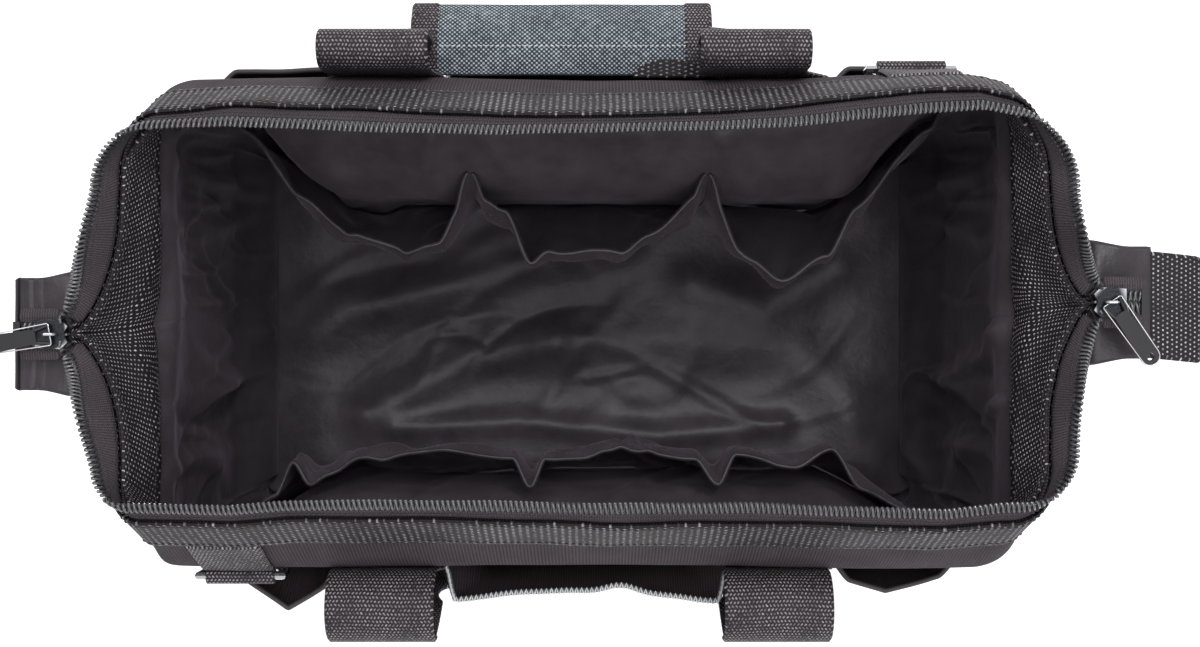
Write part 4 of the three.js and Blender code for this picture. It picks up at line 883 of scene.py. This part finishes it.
for hand, name in HANDS:
    along, across = np.linspace(0, 1, 26)[:, None], np.linspace(-1, 1, 40)[None]
    x = lerp(hand * (MOUTH_LENGTH + TIP[hand] - 8), hand * BASE_END, along) + 0 * across
    y = hand * TIP_OFFSET + across * lerp(27.5, 24, smooth(along * 1.4))
    z = lerp(213.0, 209.5, smooth(along * 1.2)) - 5.0 * across**2 * (1 - smooth(along * 1.6))
    z = z - 4.0 * smooth(1 - along * 4) + 0.7 * waves(x, y, 31, 22) * (1 - along)
    if hand < 0:
        hem = np.abs(x + HEM_PLACE + 0.8 * np.sin(y / 9))
        z = z + np.exp(-((hem - 2.4) / 0.9) ** 2)
    base = sheet(f"{name} tab base", spot(x, y, z), 2.4, x, y, SHINE)
    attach(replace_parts(base, f"tab_base_{name}"), "bag")
    run = np.linspace(0, 1, 30)[:, None]
    if hand > 0:
        x, z, slant = 250.5 + 22.5 * run, 209.2 - 3 * run**3, 1 + 2.2 * run
    else:
        x, z, slant = -(251.6 + 2 * run**2), 209.4 - 40 * run, 0 * run
    y = hand * TIP_OFFSET + np.linspace(-1, 1, 40) * TAB_HALF[hand] - slant
    grid = spot(x, y, z + 0.5 * waves(x, y, 32, 30))
    tab = sheet(f"{name} end tab", grid, 3.0, run * 24, y, INNER_WEBBING)
    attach(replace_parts(tab, f"end_tab_{name}"), f"end_tab_{name}")

# Handle webbing: the sewn straps, their free arches and the handles' shape from the side

STRAP, STRAP_LOW, STRAP_TOP = 48.0, 12.0, 165.0
SPACING, SHIFT, SPREAD = 182.0, {-1: -3.0, 1: -9.5}, {-1: 91.0, 1: 85.5}
ARCH_GAP, ARCH_RADIUS, ARCH_HEIGHT = 1.3, {-1: 16.0, 1: 8.0}, {-1: 178.0, 1: 202.0}
ARCH_TURN = {-1: 193.0, 1: 180.0}
DROP, BEND, GRIP_WIDE, GRIP_THICK = {-1: 60.0, 1: 57.0}, 28.0, 26.0, 5.0
LEG_STRAIGHT, LEG_RADIUS, LEG_TURN = 38.0, 25.0, math.radians(35)


def arch_side(side, turn):
    """Side view of an arch: y and z at an angle round its middle."""
    middle = side * (BELLY_WIDTH[side] + ARCH_GAP + ARCH_RADIUS[side])
    y = middle - side * ARCH_RADIUS[side] * np.cos(turn)
    return y, ARCH_HEIGHT[side] + ARCH_RADIUS[side] * np.sin(turn)


def handle_side(side, run):
    """Side view of a hanging handle: y, z and the outward normal at a distance down it."""
    start = math.radians(ARCH_TURN[side])
    y0, z0 = arch_side(side, start)
    angle = math.pi - start
    if side < 0:
        y = y0 + side * run * math.sin(angle) + 5.5 * smooth((run - 8) / 45)
        return y, z0 - run * math.cos(angle), side * math.cos(angle), math.sin(angle)
    bent = np.clip(run - LEG_STRAIGHT, 0, LEG_RADIUS * LEG_TURN)
    after = np.maximum(run - LEG_STRAIGHT - LEG_RADIUS * LEG_TURN, 0)
    turn = bent / LEG_RADIUS
    out = LEG_RADIUS * (1 - np.cos(turn)) + after * np.sin(turn)
    down = np.minimum(run, LEG_STRAIGHT) + LEG_RADIUS * np.sin(turn) + after * np.cos(turn)
    return y0 + side * out, z0 - down, side * np.cos(turn), np.sin(turn)


def on_handle(side, x, run, lift):
    """A place on a handle, at a distance down it and lifted off its middle face."""
    y, z, ny, nz = handle_side(side, run)
    return spot(x, y + ny * lift, z + nz * lift)


def strap_and_arch(side, name, hand, hold):
    """Webbing sewn up the wall, and the free arch that turns over it into the handle."""
    middle = hand * SPACING / 2
    across = np.linspace(-0.5, 0.5, 26)
    S, H = np.meshgrid(share_at(side, middle + across * STRAP),
                       np.linspace(STRAP_LOW, STRAP_TOP, 60))
    strap = wall_slab(f"{name} strap {hold}", side, S, H, -2.3, 2.0, WEBBING, (H, run_of(S)))
    lean(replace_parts(strap, f"{name}_strap_{hold}"))
    for edge in (-0.44, 0.44):
        place = share_at(side, middle + edge * STRAP)
        wall_seam(f"{name} strap stitches {hold} {edge}", side, place,
                  np.linspace(STRAP_LOW + 2, STRAP_TOP - 5, 120), -2.4)
    foot = on_wall(side, share_at(side, middle), STRAP_TOP, -1.3)
    turn = np.concatenate([np.zeros(6), np.linspace(0, math.radians(ARCH_TURN[side]), 44)])
    rise = np.concatenate([np.linspace(0, 1, 7)[:6], np.ones(44)])
    y, z = arch_side(side, turn)
    y = np.where(rise < 1, lerp(foot[1], y, smooth(rise)), y)
    z = np.where(rise < 1, lerp(STRAP_TOP + 0.3, ARCH_HEIGHT[side], rise), z)
    length = run_along(np.stack([y, z], -1))[:, None] + STRAP_TOP
    y, z, turn = y[:, None], z[:, None], turn[:, None]
    slide = (SHIFT[side] + hand * SPREAD[side] - middle) * smooth(np.linspace(0, 1, 50) * 12)
    x = middle + slide[:, None] + across * STRAP
    ripple = 0.8 * waves(x, z, 40 + hand + side, 40) * smooth(turn / 1.5) * smooth(3.0 - turn)
    grid = spot(x, y + side * ripple, z)
    arch = sheet(f"{name} arch {hold}", grid, 2.0, length, across * STRAP, WEBBING)
    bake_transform(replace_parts(arch, f"{name}_arch_{hold}"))


def hanging_handle(side, name):
    """A flat strip that bends at both corners and narrows and thickens into its grip."""
    drop, half, quarter = DROP[side], SPREAD[side], math.pi / 2
    turn = np.concatenate([np.zeros(14), np.linspace(0, quarter, 22)[1:], np.full(6, quarter)])
    bx = -half + BEND * (1 - np.cos(turn))
    bx[-6:] = np.linspace(bx[-7], 0, 7)[1:]
    straight = np.linspace(0.4, drop - BEND, 14)
    run = np.concatenate([straight, drop - BEND + BEND * np.sin(turn[14:])])
    fold = smooth(turn / quarter)
    bx, run, turn, fold = (np.concatenate([v, w[::-1][1:]])[:, None] for v, w in
                           ((bx, -bx), (run, run), (turn, math.pi - turn), (fold, fold)))
    angle = np.linspace(0, 2 * math.pi, 33)[:-1]
    c, s = np.cos(angle), np.sin(angle)
    ex = np.sign(c) * np.abs(c) ** lerp(0.2, 0.6, fold) * lerp(STRAP, GRIP_WIDE, fold) / 2
    ey = np.sign(s) * np.abs(s) ** lerp(0.35, 0.7, fold) * lerp(2.0, GRIP_THICK, fold) / 2
    x = SHIFT[side] + bx + ex * np.cos(turn)
    points = on_handle(side, x, np.maximum(run - ex * np.sin(turn), 0.4), ey)
    n, m = points.shape[:2]
    index, after = numbered(n, m)
    faces = [halves(quads(index[:-1], index[1:], after[1:], after[:-1]))]
    for ring, flip in ((index[0], 1), (index[-1], -1)):
        faces.append(np.stack([np.full(m - 2, ring[0]), ring[1:-1], ring[2:]], -1)[:, ::flip])
    length = run_along(np.concatenate([bx, run], 1))
    uv = np.stack([np.repeat(length[:, None], m, 1), ex], -1).reshape(-1, 2)
    handle = mesh_piece(f"{name} handle", points.reshape(-1, 3), np.concatenate(faces), uv, WEBBING)
    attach(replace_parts(handle, f"{name}_handle"), f"{name}_handle")


for side, name in SIDES:
    for hand, hold in HANDS:
        strap_and_arch(side, name, hand, hold)
    hanging_handle(side, name)

# Grip wrap: a cloth with bound ends, sewn along its middle and hanging to both sides

WRAP = np.array([(115.5, 160.4), (121.0, 161.4), (127.6, 161.2),
                 (134.0, 160.2), (143.0, 156.4), (151.5, 150.0)])
WRAP_RUN = run_along(WRAP)
WRAP_ENDS, CLOTH_ENDS, BINDING = {-1: -82.5, 1: 58.5}, (-82.0, 57.0), 11
SEAM, SEAM_GAP = 0.33, 0.012


def wrap_grid(low, high, rows, x):
    """The wrap between two shares of its width: its inner edge is at 0, its outer at 1."""
    share = np.linspace(low, high, rows)
    near = np.clip(share + np.linspace(-0.08, 0.08, 5)[:, None], 0, 1)
    y, z = read_at(near * WRAP_RUN[-1], WRAP_RUN, WRAP).mean(0).T[..., None]
    return spot(x, y, z + 0.9 * waves(x, y * 2, 51, 60))


for low, high, name, node, body in (
        (0, SEAM, "wrap flap cloth", "wrap_flap", "wrap_flap"),
        (SEAM + SEAM_GAP, 1, "wrap sewn cloth", "grip_wrap", "back_handle")):
    x, width = np.linspace(*CLOTH_ENDS, 110), np.linspace(low, high, 30)[:, None] * 42
    cloth = sheet(name, wrap_grid(low, high, 30, x), 1.8, x, width, WEAVE)
    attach(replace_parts(cloth, node), body)
    for hand, hold in HANDS:
        x = WRAP_ENDS[hand] - hand * np.linspace(0, BINDING, 12)
        grid = wrap_grid(low, high, 30, x)
        binding = sheet(f"{name} binding {hold}", grid, 3.6, width, x, WEBBING)
        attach(binding, body)
    flat = ((CLOTH_ENDS[1] - CLOTH_ENDS[0]) * MM, (high - low) * WRAP_RUN[-1] * MM)

# The round end of the webbing that shows beside the wrap's seam
across, up = np.linspace(-1, 1, 60)[None], np.linspace(0, 1, 14)[:, None]
x, y = 17 * across, 114.5 + up * 7.5 * np.sqrt(np.maximum(1 - across**2, 0.02))
arc = spot(39.5 + x, y, 164.0 + 0.6 * np.cos(across * 1.5))
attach(sheet("wrap flap arc", arc, 1.4, x, y, RIM_WEBBING), "wrap_flap")
line = wrap_grid(SEAM + 0.03, SEAM + 0.05, 2, np.linspace(-70, 48, 200))[0] + [0, 0, 0.9]
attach(stitches("wrap seam", line, PALE_THREAD, (0, 0, 1), 2.6, 1.9, 0.3), "back_handle")

# Rings and their tabs

RING_HEIGHT, RING_TAB, TAB_TOP = 181.0, 31.0, 212.5
LOOP_OUTSIDE, LOOP_INSIDE = 3.9, 2.4

for side, name, place in ((-1, "front", -159.5), (1, "back", 150.0)):
    across = np.linspace(-0.5, 0.5, 18) * RING_TAB
    S, H = np.meshgrid(share_at(side, place + across, RING_HEIGHT),
                       np.linspace(RING_HEIGHT + 5, TAB_TOP, 24))
    strip = wall_slab(f"{name} ring tab", side, S, H, -2.7, 2.4, WEBBING, (H, run_of(S)))
    lean(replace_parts(strip, f"{name}_ring_tab"))
    reach = float(half_width(side, np.array(RING_HEIGHT))) + 4.6
    turn = np.linspace(0, 2 * math.pi, 40, endpoint=False)[:, None]
    out, up = np.cos(turn), np.sin(turn)
    loop, hole = (spot(place + across, side * (reach + r * out), RING_HEIGHT + r * up)
                  for r in (LOOP_OUTSIDE, LOOP_INSIDE))
    index, _ = numbered(*loop.shape[:2])
    after, count = np.roll(index, -1, 0), index.size
    faces = quads(index[:, :-1], after[:, :-1], after[:, 1:], index[:, 1:])
    ends = [quads(index[:, k], after[:, k], after[:, k] + count, index[:, k] + count)[:, ::flip]
            for k, flip in ((0, -1), (-1, 1))]
    uv = np.stack(np.broadcast_arrays(turn * LOOP_OUTSIDE, across), -1).reshape(-1, 2)
    points = np.concatenate([loop.reshape(-1, 3), hole.reshape(-1, 3)])
    faces = np.concatenate([faces, faces[:, ::-1] + count, *ends])
    lean(mesh_piece(f"{name} ring loop", points, faces, np.concatenate([uv, uv]), WEBBING))

# Outer pockets


def pocket(name, node, side, x0, x1, mouth, stand, seed, thickness=1.5, foot=14.0):
    """A pocket sewn down at its sides and foot, standing off the wall by stand(across, up).
    It gives the middle of its mouth's edge and the wall's normals there."""
    A, U = np.meshgrid(np.linspace(0, 1, 90), np.linspace(0, 1, 80))
    S, H = share_at(side, lerp(x0, x1, A)), lerp(foot, mouth, U)
    loose = np.clip(1 + waves(A * (x1 - x0), H, seed, 30), 0, 3)
    gap = 0.5 + stand(A, U) + 0.5 * smooth(A * 9) * smooth((1 - A) * 9) * loose
    cloth = wall_slab(name, side, S, H, -gap - thickness, thickness, POCKET, (lerp(x0, x1, A), H))
    lean(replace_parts(cloth, node))
    rim = on_wall(side, S[-1], H[-1], -gap[-1] - thickness / 2)
    return rim, wall_normal(side, S[-1], H[-1])


def crown(across, margin=0.16):
    """0 at both sides of a pocket, 1 from a margin on."""
    return smooth(np.minimum(across, 1 - across) / margin)


def overlock(name, rim, normal):
    """A pale zigzag thread round a cloth edge: its points step out and back by turns."""
    run = run_along(rim)
    at = np.arange(0, run[-1], 0.6)
    line, out = read_at(at, run, rim), read_at(at, run, normal)
    step = np.array([1.4, 0.2, -1.4, 0.2])[np.arange(len(at)) % 4][:, None]
    lift = spot(0, 0, 1.5 - 0.5 * np.abs(step[:, 0]))
    lean(tube(name, line + out * step + lift, 0.42, PALE_THREAD, 6))


# The pockets' half width or ends along the bag, the heights of their mouths, and how far
# the tips of the front's side pockets stand out
CENTRE_HALF, SIDE_ENDS, CENTRE_MOUTH, SIDE_MOUTH = 66.9, (117, 177), 158, 150
SIDE_FLARE = {(-1, -1): 16, (-1, 1): 7}

for side, name in SIDES:
    def centre(across, up, side=side):
        """The mouth's corners stand out further than its middle, with a dent right of it."""
        open_up = smooth((up - 0.8) / 0.2)
        apart = lerp(0.55, 1, np.abs(2 * across - 0.9) ** 1.5) if side < 0 else 0.3
        dent = 3.0 * np.exp(-((across - 0.62) / 0.07) ** 2) if side < 0 else 0
        edge = smooth(np.minimum(across, 1 - across) / lerp(0.16, 0.035, open_up))
        return edge * (6.5 * smooth(up * 3) + open_up * (11.5 * apart - dent))

    rim, normal = pocket(f"{name} centre pocket", f"{name}_centre_pocket", side,
                         -CENTRE_HALF, CENTRE_HALF, CENTRE_MOUTH, centre, 61)
    lean(tube(f"{name} centre pocket edge", rim, 1.2, GREY_THREAD, 8))
    overlock(f"{name} centre pocket zigzag", rim, normal)
    for hand, hold in HANDS:
        flare = SIDE_FLARE.get((side, hand), 0)
        low, high = sorted(hand * end for end in SIDE_ENDS)

        def beside(across, up, flare=flare, hand=hand):
            """The mouth stands out to one point."""
            tip = np.clip(1 - np.abs(across - (0.5 - 0.06 * hand)) / 0.4, 0, 1)
            return crown(across) * (6.5 * smooth(up * 3) + flare * tip * smooth((up - 0.8) / 0.2))

        rim, _ = pocket(f"{name} side pocket {hold}", f"{name}_side_pocket_{hold}", side, low, high,
                        SIDE_MOUTH, beside, 62 + hand)
        lean(tube(f"{name} side pocket edge {hold}", rim, 1.3, THREAD, 8))

# Inner pockets


def through(points):
    """A smooth line through points given as (place, value) pairs, eased between them."""
    at, value = np.array(points, float).T

    def line(x):
        k = np.clip(np.searchsorted(at, x, side="right") - 1, 0, len(at) - 2)
        return lerp(value[k], value[k + 1], smooth((x - at[k]) / (at[k + 1] - at[k])))

    return line


def inner_pocket(name, node, side, mouth, seed):
    """A pocket on the loose lining: it bulges, and its hemmed mouth gapes by a measured line."""
    x0, x1, gape = mouth[0][0], mouth[-1][0], through(mouth)
    A, U = np.meshgrid(np.linspace(0, 1, 220 if side > 0 else 420), np.linspace(0, 1, 90))
    x = lerp(x0, x1, A)
    S = share_at(side, x)
    H = lerp(40, 150 - 0.25 * gape(x), U)
    off = crown(A, 0.05) * (6 * smooth(U * 1.1) + gape(x) * smooth((U - 0.25) / 0.75) ** 1.6)
    fold = creases(x, H, seed, int((x1 - x0) / 9), (x0, x1), (60, 150), 2.6, 5, 34, (0.8, 2.3))
    depth = lining_depth(side, S, H) + 1.2 + off + np.clip(fold + 1, 0, 6) * crown(A, 0.06)
    cloth = wall_slab(name, side, S, H, depth, 1.0, SATIN, (x, H))
    lean(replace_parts(cloth, node))
    hem = on_wall(side, S[-1], H[-1], depth[-1] + 0.5)
    lean(tube(f"{name} hem", hem, 1.1, SHINE, 8))
    wall_seam(f"{name} hem stitches", side, S[-7], H[-7], depth[-7] + 1.05)


# How far each mouth gapes, as pairs of a place along the bag and a distance
FRONT_MOUTH = ((-171, 2), (-150, 4), (-142, 16), (-132, 3), (-110, 14), (-72, 19), (-36, 15), (-27, 2),
               (-20, 14), (20, 17), (52, 14), (63, 3), (72, 16), (100, 12), (118, 20), (132, 5),
               (150, 3), (171, 0))
BACK_MOUTHS = {
    "left": ((-171, 2), (-155, 2), (-140, 9), (-112, 18), (-90, 25), (-72, 22), (-57, 2)),
    "middle": ((-55, 4), (-40, 8), (-27, 30), (-18, 25), (16, 25), (30, 18), (57, 2)),
    "right": ((59, 2), (74, 24), (96, 39), (116, 28), (130, 12), (150, 4), (171, 2)),
}
inner_pocket("front inside pocket", "front_inner_pocket", -1, FRONT_MOUTH, 71)
for seed, (hold, mouth) in enumerate(BACK_MOUTHS.items(), 72):
    inner_pocket(f"back inside pocket {hold}", f"back_inner_pocket_{hold}", 1, mouth, seed)

# The frame's own pieces

OWN = {"base_board": BOARD, "front_ring": NICKEL, "back_ring": NICKEL}
for _, name in HANDS:
    OWN |= {f"slider_{name}": HIGHLIT_METAL, f"pull_{name}": PULL, f"zip_stop_{name}": PULL}

for node, material in OWN.items():
    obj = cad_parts[node]
    obj.data.materials.clear()
    obj.data.materials.append(material[0])
    if node != "base_board":
        bevel = obj.modifiers.new("soft edges", "BEVEL")
        bevel.width = 0.0003
        bevel.segments = 2
        bevel.limit_method = "ANGLE"
        bevel.angle_limit = math.radians(28)
        obj.data.shade_smooth()
        obj.data.set_sharp_from_angle(angle=math.radians(50))

# A painted highlight: a thin bright metal line round the outline of each pull's upper face
for _, name in HANDS:
    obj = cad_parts[f"pull_{name}"]
    places = np.zeros((len(obj.data.vertices), 3))
    obj.data.vertices.foreach_get("co", places.ravel())
    turned = np.array(obj.matrix_world)
    places = (places @ turned[:3, :3].T + turned[:3, 3]) / MM
    middle = places.mean(0)
    axes = np.linalg.svd(places - middle, full_matrices=False)[2]
    flat = (places - middle) @ axes.T
    if axes[2][2] < 0:
        axes[2], flat[:, 2] = -axes[2], -flat[:, 2]
    angle = np.linspace(0, 2 * math.pi, 90, endpoint=False)
    ways = np.stack([np.cos(angle), np.sin(angle)])
    far = flat[np.argmax(flat[:, :2] @ ways, 0)][:, :2]
    far = far[np.concatenate([[True], np.any(np.diff(far, axis=0) != 0, 1)])]
    far = far - 0.35 * unit(far)
    loop = middle + far[:, :1] * axes[0] + far[:, 1:] * axes[1] + flat[:, 2].max() * axes[2]
    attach(tube(f"pull edge {name}", loop, 0.32, HIGHLIGHT_LINE, 6, closed=True, up=axes[2]), f"pull_{name}")

# Floor, light and camera

scene = bpy.context.scene


def put(name, data):
    """An object in the scene."""
    obj = bpy.data.objects.new(name, data)
    scene.collection.objects.link(obj)
    return obj


scene.view_settings.view_transform = "Standard"
scene.world = bpy.data.worlds.new("studio")
scene.world.use_nodes = True
scene.world.node_tree.nodes.clear()
sky = Tree(scene.world.node_tree)
mix = sky.nodes.new("ShaderNodeMixShader")
sky.wire(mix.inputs[0], sky.seen_rays())
for socket, strength in ((mix.inputs[1], 0.5), (mix.inputs[2], 1.0)):
    light = sky.nodes.new("ShaderNodeBackground")
    light.inputs[0].default_value = (1, 1, 1, 1)
    light.inputs[1].default_value = strength
    sky.wire(socket, Term(sky, light.outputs[0]))
sky.wire(sky.nodes.new("ShaderNodeOutputWorld").inputs[0], Term(sky, mix.outputs[0]))

WHITE, FLOOR_SIZE, FLOOR_GLOW = (1, 1, 1, 1), 6.0, 0.45
mesh = bpy.data.meshes.new("floor")
corners = [(x * FLOOR_SIZE, y * FLOOR_SIZE, 0) for x, y in ((-1, -1), (1, -1), (1, 1), (-1, 1))]
mesh.from_pydata(corners, [], [(0, 1, 2, 3)])
floor = put("floor", mesh)
ground = Paint("white floor", None)
ground.set(Base_Color=WHITE, Roughness=0.9, Specular_IOR_Level=0.0, Emission_Color=WHITE,
           Emission_Strength=ground.seen_rays() * FLOOR_GLOW)
mesh.materials.append(ground.material)


def lamp(name, place, target, size, power):
    """A square soft lamp at a place, pointed at a target."""
    data = bpy.data.lights.new(name, "AREA")
    data.shape = "SQUARE"
    data.size = size
    data.energy = power
    away = unit(np.subtract(place, target))
    right = unit(np.cross((0, 1, 0.01), away))
    columns = np.stack([right, np.cross(away, right), away, place], 1)
    put(name, data).matrix_world = Matrix([*columns.tolist(), (0, 0, 0, 1)])


lamp("back lamp", (-0.4, 1.3, 1.9), (0, 0, 0.1), 1.5, 12)
lamp("front lamp", (0.3, -1.1, 2.0), (0, 0, 0.1), 1.4, 16)
lamp("top lamp", (0.1, 0.3, 1.9), (0, 0, 0.1), 0.8, 6)
lamp("spark lamp", (0.5, 0.9, 1.9), (0, 0, 0.2), 0.25, 8)

FOCAL_PIXELS = 1534  # with 1200 pixels across the sensor
camera_data = bpy.data.cameras.new("camera")
camera_data.sensor_width = 36
camera_data.lens = 18 * FOCAL_PIXELS / 600
camera = put("camera", camera_data)
camera.location = (0.0064, -0.0023, 0.89)
scene.camera = camera
